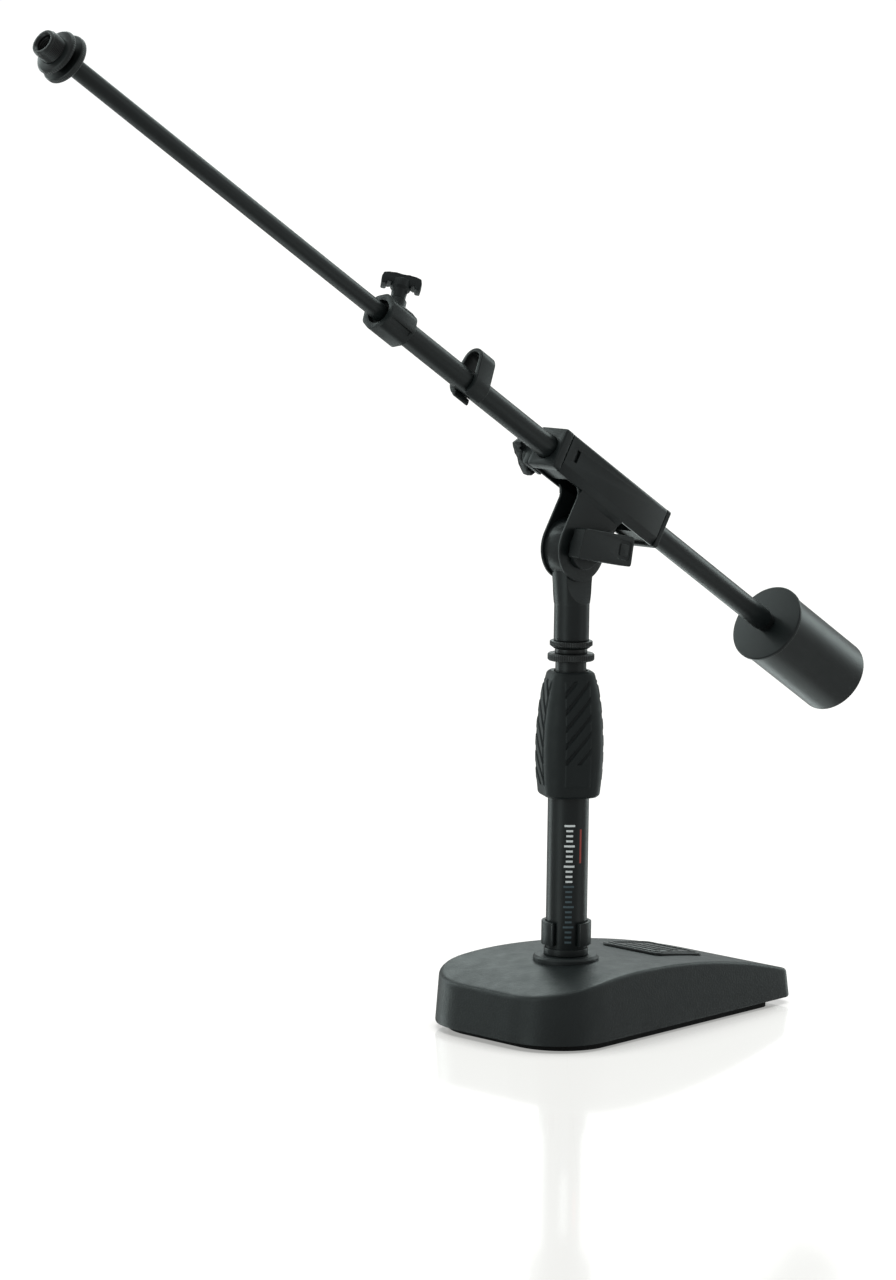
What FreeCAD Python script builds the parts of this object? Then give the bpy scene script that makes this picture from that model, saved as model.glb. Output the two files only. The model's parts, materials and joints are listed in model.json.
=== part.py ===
"""Boom microphone stand: a weighted desk base, a telescopic mast and a counterweighted boom.

Frame: millimetres, +Z up, origin where the mast's axis meets the surface the stand rests on.
+X runs along the base towards its narrow tail. The boom lies in the XZ plane, its tip over -X.
"""
import FreeCAD, Part
import math
import os
import re

import Sketcher

Vector = FreeCAD.Vector
Rotation = FreeCAD.Rotation
Placement = FreeCAD.Placement

SIZES = {
    # base
    "base_lift": 4.0, "base_front": 73.2, "base_tail": 163.2,
    "base_front_half": 66.5, "base_tail_half": 45.6,
    "base_front_corner": 39.0, "base_tail_corner": 10.0, "base_draft": 3.0,
    "crest_x": 6.3, "crest_z": 42.6, "front_arc": 301.0, "tail_arc": 572.0,
    "cavity_front": 62.0, "cavity_tail": 95.0, "cavity_half": 46.0, "cavity_top": 28.0,
    "plinth_front": 9.0, "plinth_side": 4.5, "plinth_tail": 19.0,
    "ballast_thick": 9.0, "ballast_hole": 13.0, "ballast_screw_rad": 3.5,
    "anchor_rad": 6.0, "anchor_long": 20.0, "plug_long": 20.0,
    "anchor_nut_rad": 10.5, "anchor_nut_tall": 7.5, "anchor_washer_rad": 12.5, "anchor_washer_thick": 1.6,
    "badge_front": 56.5, "badge_long": 43.5, "badge_wide": 50.0, "badge_thick": 2.4,
    "socket_floor": 38.0, "flange_top": 45.6, "flange_rad": 20.3,
    # fits
    "run_play": 0.05, "press_play": 0.02, "thread_play": 0.05,
    # mast
    "lower_rad": 12.7, "lower_bore": 11.1, "lower_top": 200.0,
    "upper_rad": 9.525, "upper_bore": 7.95, "upper_foot": 75.0, "upper_top": 228.3,
    "foot_collar_top": 50.0, "foot_collar_rad": 13.7,
    "clip_foot": 52.2, "clip_tall": 14.4, "clip_rad": 15.9, "clip_gap_deg": 60.0,
    "grip_foot": 144.6, "grip_top": 222.0, "core_rad": 14.8, "core_neck": 12.1,
    "collar_rad": 13.5, "collar_long": 52.0, "collet_rad": 12.4, "collet_nose": 10.5,
    "core_step": 57.0, "core_seat": 63.0, "core_cone": 73.0,
    "thread_rad": 7.9375, "stud_flange_rad": 14.4, "stud_flange_thick": 4.5, "stud_top": 257.0,
    "stud_plug": 20.0,
    "ring_rad": 13.2, "ring_foot": 235.7, "ring_top": 240.5, "ring_hub_rad": 10.0,
    "head_foot": 240.7, "head_shoulder": 263.4, "head_socket_rad": 10.85, "head_neck_rad": 11.1,
    "head_neck_top": 14.7, "pivot_z": 297.3, "head_disc_rad": 18.5, "head_thick": 12.6,
    "head_flat_foot": 277.5, "head_flat_sweep": 23.4,
    # boom bracket
    "boom_offset": 41.6, "boom_tilt": 31.0,
    "channel_half": 11.5, "channel_top": 13.3, "channel_floor": 12.2, "channel_front": 46.0,
    "channel_rear": 52.0, "sheet": 1.6, "channel_round": 2.5,
    "ear_outer": 8.2, "ear_half": 20.0, "ear_fillet": 5.0,
    "boss_end": 15.0, "boss_half": 8.2, "insert_depth": 15.0, "front_lip": 7.0,
    "rear_lip": 4.0, "bolt_rad": 3.0, "bolt_head_rad": 7.0, "bolt_end": 8.4, "lever_gap": 0.4,
    "hub_rad": 12.5, "hub_thick": 3.2, "lever_nut_rad": 5.7, "lever_nut_thick": 6.0, "nut_pocket": 8.6,
    "lever_reach": 32.0, "lever_tail": 15.5, "lever_low": 7.0, "lever_high": 12.8,
    "lever_thick": 9.0, "lever_turn": -12.0,
    # boom
    "boom_rad": 7.13, "boom_bore": 5.75, "boom_rear": 180.0, "boom_front": 212.0,
    "inner_rad": 5.215, "inner_bore": 4.2, "inner_rear": 60.0, "inner_front": 492.1,
    "collar_rear": 197.0, "collar_front": 219.0, "collar_half": 11.2, "collar_turn": 14.0,
    "lock_station": 46.0, "knob_reach": 12.0, "knob_wide": 8.4, "knob_tall": 6.4, "knob_arm": 3.6,
    "knob_hub": 4.6, "knob_stem": 12.5, "lock_stem": 7.5, "lock_drop": 4.0,
    "clutch_station": 206.0, "screw_rad": 2.5, "mouth_rad": 7.7, "gland_rad": 7.6, "gland_thick": 3.0,
    "guide_bore": 2.5, "weight_stud_rad": 5.0, "weight_stud_long": 30.0, "weight_neck_rad": 6.3,
    "loop_rear": 124.0, "loop_long": 13.0, "loop_rad": 10.6, "loop_top": 14.0, "loop_top_rad": 7.5,
    "tip_end": 512.0, "tip_flange_rad": 14.4, "tip_flange_thick": 3.6, "tip_bore_rad": 4.2,
    "tip_ring_rear": 499.4, "tip_ring_front": 502.8,
    "weight_front": 185.0, "weight_rear": 264.0, "weight_rad": 24.4, "weight_lip_rad": 25.9,
}
GRIP_SECTIONS = (
    (0.00, 34.8), (0.10, 36.4), (0.25, 38.0), (0.41, 38.4),
    (0.59, 37.1), (0.77, 34.0), (0.90, 30.2), (1.00, 26.6),
)
GRIP_TURN = 61.0
CORNER_SHARE = 0.33

doc = FreeCAD.newDocument("boom_microphone_stand")
sheet = doc.addObject("Spreadsheet::Sheet", "Sizes")
for row, (alias, number) in enumerate(SIZES.items(), start=1):
    sheet.set(f"A{row}", alias)
    sheet.set(f"B{row}", str(number))
    sheet.setAlias(f"B{row}", alias)
doc.recompute()

NODES = []


def cells(expression):
    """An expression in plain cell names, as the document's expression engine reads it."""
    return re.sub(r"[a-z]+(?:_[a-z]+)+|sheet",
                  lambda found: "Sizes." + found.group() if found.group() in SIZES else found.group(),
                  str(expression))


def value(expression):
    return float(doc.Sizes.evalExpression(cells(expression)))


def bind(thing, **expressions):
    for name, expression in expressions.items():
        thing.setExpression(name, cells(expression))
    return thing


def mast(height="0"):
    """A place on the mast's axis, at a height above the floor."""
    return Placement(Vector(0, 0, value(height)), Rotation())


PIVOT = Vector(0, 0, value("pivot_z"))
TILT = Rotation(Vector(0, 1, 0), value("boom_tilt") - 90)
BOOM = Placement(PIVOT, TILT).multiply(Placement(Vector(value("boom_offset"), 0, 0), Rotation()))


def boom(station="0", rotation=Rotation(), up="0", across="0"):
    """A place in the boom's frame: local Z runs to the tip, local X is square to it and up."""
    spot = Vector(value(up), value(across), value(station))
    return BOOM.multiply(Placement(spot, rotation))


def node(thing, label, placement=None):
    """Register a finished sub-part under the name its file gets."""
    thing.Label = label
    if placement is not None:
        thing.Placement = placement
    NODES.append(thing)
    return thing


def plane(body, role):
    return next(feature for feature in body.Origin.OriginFeatures if feature.Role == role)


def outline(body, role, points, offset="0"):
    """A closed polygon sketch on one of the body's own planes, each corner held by two sizes."""
    sketch = body.newObject("Sketcher::SketchObject", "Outline")
    sketch.AttachmentSupport = [(plane(body, role), "")]
    sketch.MapMode = "FlatFace"
    sketch.AttachmentOffset = Placement(Vector(0, 0, value(offset)), Rotation())
    corners = [Vector(value(across), value(along), 0) for across, along in points]
    count = len(corners)
    for index in range(count):
        sketch.addGeometry(Part.LineSegment(corners[index], corners[(index + 1) % count]), False)
    for index in range(count):
        sketch.addConstraint(Sketcher.Constraint("Coincident", index, 2, (index + 1) % count, 1))
    for index, (across, along) in enumerate(points):
        for kind, size, number in (("DistanceX", across, corners[index].x),
                                   ("DistanceY", along, corners[index].y)):
            place = sketch.addConstraint(Sketcher.Constraint(kind, index, 1, number))
            sketch.setExpression(f"Constraints[{place}]", cells(size))
    return sketch


def turned(label, profile, placement, finished=True):
    """A lathe-turned piece: (radius, height) corners revolved about the piece's own Z axis."""
    body = doc.addObject("PartDesign::Body", label)
    sketch = outline(body, "XZ_Plane", profile)
    turn = body.newObject("PartDesign::Revolution", "Turn")
    turn.Profile = sketch
    turn.ReferenceAxis = (sketch, ["V_Axis"])
    turn.Angle = 360
    if finished:
        return node(body, label, placement)
    body.Placement = placement
    return body


def ring_profile(bore, rim, foot, top):
    return [(bore, foot), (rim, foot), (rim, top), (bore, top)]


def cylinder(radius, height, place=Placement(), angle=None):
    thing = doc.addObject("Part::Cylinder", "Round")
    bind(thing, Radius=radius, Height=height)
    if angle is not None:
        bind(thing, Angle=angle)
    thing.Placement = place
    return thing


def block(length, width, height, place=Placement()):
    """A box centred on its place in X and Y and standing on it in Z."""
    thing = doc.addObject("Part::Box", "Block")
    bind(thing, Length=length, Width=width, Height=height)
    shift = Placement(Vector(-value(length) / 2, -value(width) / 2, 0), Rotation())
    thing.Placement = place.multiply(shift)
    return thing


def fuse(*things):
    joined = doc.addObject("Part::MultiFuse", "Joined")
    joined.Shapes = list(things)
    return joined


def cut(base, *tools):
    tool = tools[0] if len(tools) == 1 else fuse(*tools)
    result = doc.addObject("Part::Cut", "Cut")
    result.Base = base
    result.Tool = tool
    return result


def hex_nut(corner, thick, bore):
    """A hexagonal nut standing on its own XY plane, its corners at the radius `corner`."""
    blank = doc.addObject("Part::Prism", "Hex")
    blank.Polygon = 6
    bind(blank, Circumradius=corner, Height=thick)
    return cut(blank, cylinder(bore, thick))


def rounded(base, radius, choose):
    """Round the edges of a piece that the test `choose` picks."""
    doc.recompute()
    result = doc.addObject("Part::Fillet", "Rounded")
    result.Base = base
    size = value(radius)
    picked = [(number, size, size) for number, edge in enumerate(base.Shape.Edges, start=1) if choose(edge)]
    result.Edges = picked
    return result


def along(axis):
    """A test for straight edges that run along a direction."""
    def test(edge):
        if edge.Curve.TypeId != "Part::GeomLine":
            return False
        return abs(edge.Curve.Direction.dot(axis)) > 0.99
    return test


def at(x=0.0, y=0.0, z=0.0, rotation=Rotation()):
    return Placement(Vector(x, y, z), rotation)


ALONG_Y = Rotation(Vector(1, 0, 0), -90)
ALONG_X = Rotation(Vector(0, 1, 0), 90)


# ---------------------------------------------------------------- base

def upright_corners(body, feature, reach, radius):
    """Round the upright edges of a prism that stand at one end of it."""
    tall = feature.Shape.BoundBox.ZLength
    names = [f"Edge{number}" for number, edge in enumerate(feature.Shape.Edges, start=1)
             if len(edge.Vertexes) == 2
             and abs(edge.Vertexes[0].Z - edge.Vertexes[1].Z) > tall / 2
             and abs(edge.CenterOfMass.x - value(reach)) < value("base_tail_corner")]
    corner = body.newObject("PartDesign::Fillet", "Corner")
    corner.Base = (feature, names)
    bind(corner, Radius=radius)
    doc.recompute()
    return corner


def base_casting():
    """Cast shell: a drafted plan outline under a crowned top, hollow below, bored for the mast."""
    body = doc.addObject("PartDesign::Body", "base_casting")
    plan = outline(body, "XY_Plane", [
        ("-base_front", "-base_front_half"), ("base_tail", "-base_tail_half"),
        ("base_tail", "base_tail_half"), ("-base_front", "base_front_half")], offset="base_lift")
    wall = body.newObject("PartDesign::Pad", "Wall")
    wall.Profile = plan
    bind(wall, Length="crest_z - base_lift + 2", TaperAngle="-base_draft")
    doc.recompute()
    front = upright_corners(body, wall, "-base_front", "base_front_corner")
    upright_corners(body, front, "base_tail", "base_tail_corner")

    crown = body.newObject("Sketcher::SketchObject", "Crown")
    crown.AttachmentSupport = [(plane(body, "XZ_Plane"), "")]
    crown.MapMode = "FlatFace"
    crest = Vector(value("crest_x"), value("crest_z"), 0)
    ends = []
    for sign, radius in ((-1, "front_arc"), (1, "tail_arc")):
        arc = value(radius)
        span = math.asin(value("base_tail") / arc)
        centre = crest - Vector(0, arc, 0)
        mid = math.pi / 2
        low, high = (mid, mid + span) if sign < 0 else (mid - span, mid)
        circle = Part.Circle(centre, Vector(0, 0, 1), arc)
        crown.addGeometry(Part.ArcOfCircle(circle, low, high), False)
        ends.append(centre + Vector(sign * arc * math.sin(span), arc * math.cos(span), 0))
    roof = value("crest_z * 2")
    corners = [ends[0], Vector(ends[0].x, roof, 0), Vector(ends[1].x, roof, 0), ends[1]]
    for start, stop in zip(corners, corners[1:]):
        crown.addGeometry(Part.LineSegment(start, stop), False)
    joins = ((0, 1, 1, 2), (0, 2, 2, 1), (2, 2, 3, 1), (3, 2, 4, 1), (4, 2, 1, 1))
    for first, first_end, second, second_end in joins:
        crown.addConstraint(Sketcher.Constraint("Coincident", first, first_end, second, second_end))
    for index, radius in ((0, "front_arc"), (1, "tail_arc")):
        place = crown.addConstraint(Sketcher.Constraint("Radius", index, value(radius)))
        crown.setExpression(f"Constraints[{place}]", cells(radius))
    for kind, size in (("DistanceX", "crest_x"), ("DistanceY", "crest_z")):
        place = crown.addConstraint(Sketcher.Constraint(kind, 0, 1, value(size)))
        crown.setExpression(f"Constraints[{place}]", cells(size))
    top = body.newObject("PartDesign::Pocket", "Top")
    top.Profile = crown
    top.Type = "ThroughAll"
    top.Midplane = True

    hollow = outline(body, "XY_Plane", [
        ("-cavity_front", "-cavity_half"), ("cavity_tail", "-cavity_half + 6"),
        ("cavity_tail", "cavity_half - 6"), ("-cavity_front", "cavity_half")], offset="base_lift")
    cavity = body.newObject("PartDesign::Pocket", "Cavity")
    cavity.Profile = hollow
    cavity.Reversed = True
    bind(cavity, Length="cavity_top - base_lift")

    doc.recompute()
    for name, radius, foot, height in (
            ("Socket", "lower_rad + run_play", "socket_floor", "20"),
            ("BoltHole", "anchor_rad + 0.4", "base_lift", "crest_z")):
        hole = body.newObject("PartDesign::SubtractiveCylinder", name)
        bind(hole, Radius=radius, Height=height)
        hole.AttachmentSupport = [(plane(body, "XY_Plane"), "")]
        hole.MapMode = "FlatFace"
        hole.AttachmentOffset = at(z=value(foot))
        doc.recompute()
    return node(body, "base_casting")


def base_plinth():
    """Rubber foot plate under the casting, set in from its wall all round."""
    body = doc.addObject("PartDesign::Body", "base_plinth")
    slope = "(base_front_half - base_tail_half) / (base_front + base_tail)"
    front_half = f"base_front_half - {slope} * plinth_front - plinth_side"
    tail_half = f"base_tail_half + {slope} * plinth_tail - plinth_side"
    plan = outline(body, "XY_Plane", [
        ("-base_front + plinth_front", f"-({front_half})"), ("base_tail - plinth_tail", f"-({tail_half})"),
        ("base_tail - plinth_tail", tail_half), ("-base_front + plinth_front", front_half)])
    pad = body.newObject("PartDesign::Pad", "Pad")
    pad.Profile = plan
    bind(pad, Length="base_lift")
    doc.recompute()
    front = upright_corners(body, pad, "-base_front + plinth_front", "base_front_corner - plinth_side")
    upright_corners(body, front, "base_tail - plinth_tail", "base_tail_corner")
    return node(body, "base_plinth")


casting = base_casting()
base_plinth()

ballast = block("cavity_front + cavity_tail - 12", "cavity_half * 2 - 18", "ballast_thick",
                at((value("cavity_tail") - value("cavity_front")) / 2, 0, value("base_lift")))
ballast_hole = cylinder("ballast_hole", "ballast_thick", mast("base_lift"))
node(cut(ballast, ballast_hole), "ballast_plate")

ballast_screws = [cylinder("ballast_screw_rad", "3", at(x, y, value("base_lift + ballast_thick")))
                  for x in (-45.0, 75.0) for y in (-30.0, 30.0)]
node(fuse(*ballast_screws), "ballast_screws")

turned("mast_plug", [
    ("0", "0"), ("anchor_rad", "0"), ("anchor_rad", "anchor_long"),
    ("lower_bore - press_play", "anchor_long"),
    ("lower_bore - press_play", "anchor_long + plug_long"), ("0", "anchor_long + plug_long")],
    mast("socket_floor - anchor_long"))
node(hex_nut("anchor_nut_rad", "anchor_nut_tall", "anchor_rad + press_play"), "mast_nut",
     mast("cavity_top - anchor_washer_thick - anchor_nut_tall - 0.2"))
turned("mast_washer", ring_profile("anchor_rad + 0.3", "anchor_washer_rad", "0", "anchor_washer_thick"),
       mast("cavity_top - anchor_washer_thick - 0.1"))

flange_blank = cylinder("flange_rad", "flange_top - socket_floor", mast("socket_floor"))
flange_bore = cylinder("lower_rad + run_play", "flange_top", mast("socket_floor - 2"))
doc.recompute()
flange = cut(cut(flange_blank, flange_bore), casting)
node(flange, "mast_flange")

badge_slope = math.degrees(math.asin((value("badge_front + badge_long / 2 - crest_x")) / value("tail_arc")))
badge_mid = value("badge_front + badge_long / 2")
badge_drop = value("tail_arc") * (1 - math.cos(math.radians(badge_slope)))
badge_place = at(badge_mid, 0, value("crest_z") - badge_drop - 1.2, Rotation(Vector(0, 1, 0), badge_slope))
badge_blank = rounded(block("badge_long", "badge_wide", "badge_thick + 1.2", badge_place), "6",
                      along(badge_place.Rotation.multVec(Vector(0, 0, 1))))
node(cut(badge_blank, casting), "badge_plate")

# ---------------------------------------------------------------- mast, fixed part

turned("lower_tube", ring_profile("lower_bore", "lower_rad", "0", "lower_top - socket_floor"),
       mast("socket_floor"))
turned("foot_collar",
       ring_profile("lower_rad + run_play", "foot_collar_rad", "0", "foot_collar_top - flange_top"),
       mast("flange_top"))
turned("clutch_collar", ring_profile("lower_rad + press_play", "collar_rad", "0", "collar_long"),
       mast("lower_top - collar_long"))

collet = turned("ColletBlank", [
    ("upper_rad + run_play", "0"), ("collet_rad", "0"), ("collet_rad", "6"), ("collet_nose", "16"),
    ("upper_rad + run_play", "16")], mast("lower_top + 1"), finished=False)
slits = [block("30", "1.2", "14", at(z=value("lower_top + 5"), rotation=Rotation(Vector(0, 0, 1), turn)))
         for turn in (0, 60, 120)]
node(cut(collet, *slits), "clutch_collet")

clip_outer = cylinder("clip_rad", "clip_tall", angle="360 - clip_gap_deg")
clip_inner = cylinder("lower_rad + 0.3", "clip_tall")
clip_turn = Rotation(Vector(0, 0, 1), 223 + value("clip_gap_deg") / 2)
node(cut(clip_outer, clip_inner), "mast_cable_clip", at(z=value("clip_foot"), rotation=clip_turn))

# ---------------------------------------------------------------- twist grip

CORE_INNER = [
    ("collar_rad + 0.1", "2"), ("collar_rad + 0.1", "core_step"), ("collet_rad + 0.15", "core_step"),
    ("collet_rad + 0.15", "core_seat"), ("collet_nose + 0.1", "core_cone"),
    ("collet_nose + 0.1", "grip_top - grip_foot")]
CORE_OUTER = [("core_neck", "grip_top - grip_foot"), ("core_rad", "core_step + 1"), ("core_rad", "2")]
turned("grip_core", CORE_INNER + CORE_OUTER, mast("grip_foot"))


def rounded_square(side, height):
    """A closed wire: a square with rounded corners, centred on Z."""
    half = side / 2
    corner = side * CORNER_SHARE
    flat = half - corner
    edges = []
    for quarter in range(4):
        turn = Rotation(Vector(0, 0, 1), 90 * quarter)
        diagonal = flat + corner * math.cos(math.pi / 4)
        points = [Vector(half, -flat, height), Vector(half, flat, height),
                  Vector(diagonal, diagonal, height), Vector(flat, half, height)]
        first, second, middle, last = [turn.multVec(point) for point in points]
        edges.append(Part.LineSegment(first, second).toShape())
        edges.append(Part.Arc(second, middle, last).toShape())
    return Part.Wire(edges)


grip_tall = value("grip_top - grip_foot")
grip_skin = doc.addObject("Part::Feature", "GripSkin")
grip_rings = [rounded_square(side, share * grip_tall) for share, side in GRIP_SECTIONS]
grip_skin.Shape = Part.makeLoft(grip_rings, True)
grip_skin.Placement = at(z=value("grip_foot"), rotation=Rotation(Vector(0, 0, 1), GRIP_TURN))
grip_hollow = turned("GripHollow", [
    ("0", "-1"), ("core_rad", "-1"), ("core_rad", "core_step + 1"), ("core_neck", "grip_top - grip_foot"),
    ("core_neck", "grip_top - grip_foot + 1"), ("0", "grip_top - grip_foot + 1")],
    mast("grip_foot"), finished=False)
node(cut(grip_skin, grip_hollow), "grip_sleeve")

# ---------------------------------------------------------------- mast, sliding part

turned("upper_tube", ring_profile("upper_bore", "upper_rad", "0", "upper_top - upper_foot"),
       mast("upper_foot"))
turned("mast_guide_bush", [
    ("upper_bore - 2.5", "0"), ("lower_bore - run_play", "0"), ("lower_bore - run_play", "12"),
    ("upper_bore - press_play", "12"), ("upper_bore - press_play", "24"), ("upper_bore - 2.5", "24")],
    mast("upper_foot - 12"))
turned("mast_stud", [
    ("0", "-stud_plug"), ("upper_bore - press_play", "-stud_plug"), ("upper_bore - press_play", "0"),
    ("stud_flange_rad - 0.6", "0"), ("stud_flange_rad", "0.6"),
    ("stud_flange_rad", "stud_flange_thick - 0.6"),
    ("stud_flange_rad - 0.6", "stud_flange_thick"), ("thread_rad", "stud_flange_thick"),
    ("thread_rad", "stud_top - upper_top - 1"), ("thread_rad - 1", "stud_top - upper_top"),
    ("0", "stud_top - upper_top")], mast("upper_top"))
hub_foot = "upper_top + stud_flange_thick + 0.1 - ring_foot"
turned("mast_lock_ring", [
    ("thread_rad + thread_play", hub_foot), ("ring_hub_rad", hub_foot), ("ring_hub_rad", "0"),
    ("ring_rad - 2.6", "0"), ("ring_rad", "2.2"), ("ring_rad", "ring_top - ring_foot - 0.5"),
    ("ring_rad - 0.5", "ring_top - ring_foot"), ("thread_rad + thread_play", "ring_top - ring_foot")],
    mast("ring_foot"))

# ---------------------------------------------------------------- swivel head


def swivel_head():
    """Cast head: a threaded socket below, a flat-sided eye for the tilt bolt above."""
    socket = cylinder("head_socket_rad", "head_shoulder - head_foot", mast("head_foot"))
    neck = doc.addObject("Part::Cone", "Neck")
    bind(neck, Radius1="head_neck_rad", Radius2="head_neck_top", Height="pivot_z - head_shoulder")
    neck.Placement = mast("head_shoulder")
    eye_place = at(y=-value("head_thick") / 2, z=value("pivot_z"), rotation=ALONG_Y)
    eye = cylinder("head_disc_rad", "head_thick", eye_place)
    scoops = []
    for side in (-1, 1):
        foot = value("head_flat_foot")
        flat = at(y=side * value("head_thick / 2 + 10"), z=foot)
        scoops.append(block("60", "20", "head_disc_rad * 3", flat))
        sweep = at(x=-30, y=side * value("head_thick / 2 + head_flat_sweep"), z=foot, rotation=ALONG_X)
        scoops.append(cylinder("head_flat_sweep", "60", sweep))
    bore = cylinder("thread_rad + thread_play", "stud_top - head_foot + 1.5", mast("head_foot"))
    eyelet = cylinder("bolt_rad + run_play", "30", at(y=-15, z=value("pivot_z"), rotation=ALONG_Y))
    solid = cut(fuse(socket, neck, eye), fuse(*scoops), bore, eyelet)
    return node(solid, "swivel_head")


swivel_head()

# ---------------------------------------------------------------- bracket

PIVOT_X = -value("boom_offset")


def boom_bracket():
    """Folded sheet channel along the boom with two ears down to the tilt bolt."""
    length = "channel_front + channel_rear"
    tall = "channel_top + channel_floor"
    mid_up = (value("channel_top") - value("channel_floor")) / 2
    start = -value("channel_rear")
    skin = rounded(block(tall, "channel_half * 2", length, at(mid_up, 0, start)),
                   "channel_round", along(Vector(0, 0, 1)))
    inside = rounded(block(f"{tall} - sheet * 2", "channel_half * 2 - sheet * 2", length,
                           at(mid_up, 0, start)),
                     "channel_round - sheet", along(Vector(0, 0, 1)))
    slot_place = at(-value("channel_floor"), 0, start)
    slot = block("sheet * 4", "ear_outer * 2 - sheet * 2", length, slot_place)
    window = block("8", "sheet * 3", "2.2", at(2.5, -value("channel_half"), 37))
    channel = cut(skin, inside, slot, window)
    ears = []
    for side in (-1, 1):
        centre = side * (value("ear_outer") - value("sheet") / 2)
        drop = value("boom_offset - channel_floor + sheet")
        plate = block("boom_offset - channel_floor + sheet", "sheet", "ear_half * 2",
                      at(PIVOT_X + drop / 2, centre, -value("ear_half")))
        turn = at(PIVOT_X, centre - value("sheet") / 2, 0, ALONG_Y)
        ears.append(fuse(plate, cylinder("ear_half", "sheet", turn)))
        for end in (-1, 1):
            start = value("ear_half") if end > 0 else -value("ear_half + ear_fillet")
            web = block("ear_fillet", "sheet", "ear_fillet",
                        at(-value("channel_floor + ear_fillet / 2"), centre, start))
            sweep = at(-value("channel_floor + ear_fillet"), centre - value("sheet"),
                       end * value("ear_half + ear_fillet"), ALONG_Y)
            ears.append(cut(web, cylinder("ear_fillet", "sheet * 2", sweep)))
    bolt_hole = cylinder("bolt_rad + press_play", "40", at(PIVOT_X, -20, 0, ALONG_Y))
    screw_hole = cylinder("screw_rad + run_play * 2", "channel_half",
                          at(-value("lock_drop"), value("channel_half") / 2, value("lock_station"), ALONG_Y))
    return node(cut(fuse(channel, *ears), bolt_hole, screw_hole), "boom_bracket", boom())


boom_bracket()


BOOM_AXIS = Vector(0, 0, 1)


def insert(label, start, depth, lip, outward, extras=()):
    """Plastic end piece of the channel: a plug inside it and a lip over its cut end."""
    mid_up = (value("channel_top") - value("channel_floor")) / 2
    tall = value("channel_top + channel_floor")
    clear = value("sheet") * 2 + 0.1
    plug_start = start - depth if outward > 0 else start
    plug_blank = block(str(tall - clear), str(value("channel_half") * 2 - clear), str(depth),
                       at(mid_up, 0, plug_start))
    plug = rounded(plug_blank, "1.2", along(BOOM_AXIS))
    lip_start = start if outward > 0 else start - lip
    rim_blank = block(str(tall), "channel_half * 2", str(lip), at(mid_up, 0, lip_start))
    rim = rounded(rim_blank, "2", along(BOOM_AXIS))
    bore = cylinder("boom_rad + run_play", str(depth + lip + 2), at(z=min(plug_start, lip_start) - 1))
    solid = fuse(plug, rim, *extras)
    screw = [] if outward < 0 else [
        cylinder("screw_rad + run_play", "20", at(-value("lock_drop"), 5, value("lock_station"), ALONG_Y))]
    return node(cut(solid, bore, *screw), label, boom())


boss_wide = value("boss_end - channel_half + 2")
boss_mid = value("boss_end") - boss_wide / 2
boss_blank = block("boss_half * 2", str(boss_wide), "channel_front + front_lip - lock_station + boss_half",
                   at(-value("lock_drop"), boss_mid, value("lock_station - boss_half")))
lock_boss = cut(rounded(boss_blank, "2", along(BOOM_AXIS)),
                block("channel_top * 4", "channel_half * 2 + 0.1", "channel_front", at()))
insert("front_insert", value("channel_front"), value("insert_depth"), value("front_lip"), 1, (lock_boss,))
insert("rear_insert", -value("channel_rear"), value("insert_depth"), value("rear_lip"), -1)

WASHER_GAP = value("(ear_outer * 2 - sheet * 2 - head_thick) / 2")
washers = []
for side in (-1, 1):
    near = value("head_thick") / 2 if side > 0 else -value("head_thick") / 2 - WASHER_GAP
    disc = cylinder("14", str(WASHER_GAP), at(PIVOT_X, near, 0, ALONG_Y))
    hole = cylinder("bolt_rad + press_play", str(WASHER_GAP), at(PIVOT_X, near, 0, ALONG_Y))
    washers.append(cut(disc, hole))
node(fuse(*washers), "friction_washers", boom())

turned("pivot_bolt", [
    ("0", "-ear_outer - bolt_end"), ("bolt_rad", "-ear_outer - bolt_end"), ("bolt_rad", "ear_outer"),
    ("bolt_head_rad", "ear_outer"), ("bolt_head_rad - 0.8", "ear_outer + 2.4"), ("0", "ear_outer + 3.6")],
    boom(up="-boom_offset", rotation=ALONG_Y))

# ---------------------------------------------------------------- tilt lever

LEVER_BACK = value("-ear_outer - lever_gap")


def tilt_lever():
    """Paddle lever: a round hub over the bolt, carrying a flat tapering handle."""
    hub = cylinder("hub_rad", "hub_thick", at(y=LEVER_BACK - value("hub_thick"), rotation=ALONG_Y))
    body = doc.addObject("PartDesign::Body", "Paddle")
    sketch = outline(body, "XZ_Plane", [
        ("-lever_tail", "-lever_low"), ("lever_reach", "-lever_low + 1.4"),
        ("lever_reach - 0.6", "lever_high"), ("-lever_tail + 2.4", "lever_high - 1")])
    pad = body.newObject("PartDesign::Pad", "Pad")
    pad.Profile = sketch
    bind(pad, Length="lever_thick")
    doc.recompute()
    names = [f"Edge{number}" for number, edge in enumerate(body.Shape.Edges, start=1)
             if along(Vector(0, 1, 0))(edge)]
    corner = body.newObject("PartDesign::Fillet", "Corner")
    corner.Base = (pad, names)
    corner.Radius = 2.0
    body.Placement = at(y=LEVER_BACK - value("hub_thick - 0.1"))
    pocket = cylinder("lever_nut_rad + 0.1", "nut_pocket",
                      at(y=LEVER_BACK - value("nut_pocket"), rotation=ALONG_Y))
    solid = cut(fuse(hub, body), pocket)
    turn = Rotation(Vector(0, 1, 0), -value("lever_turn"))
    return node(solid, "tilt_lever", Placement(PIVOT, turn))


tilt_lever()
node(hex_nut("lever_nut_rad", "lever_nut_thick", "bolt_rad + run_play"), "lever_nut",
     Placement(PIVOT + Vector(0, LEVER_BACK - value("nut_pocket - 0.4"), 0), ALONG_Y))

# ---------------------------------------------------------------- boom tubes

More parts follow.
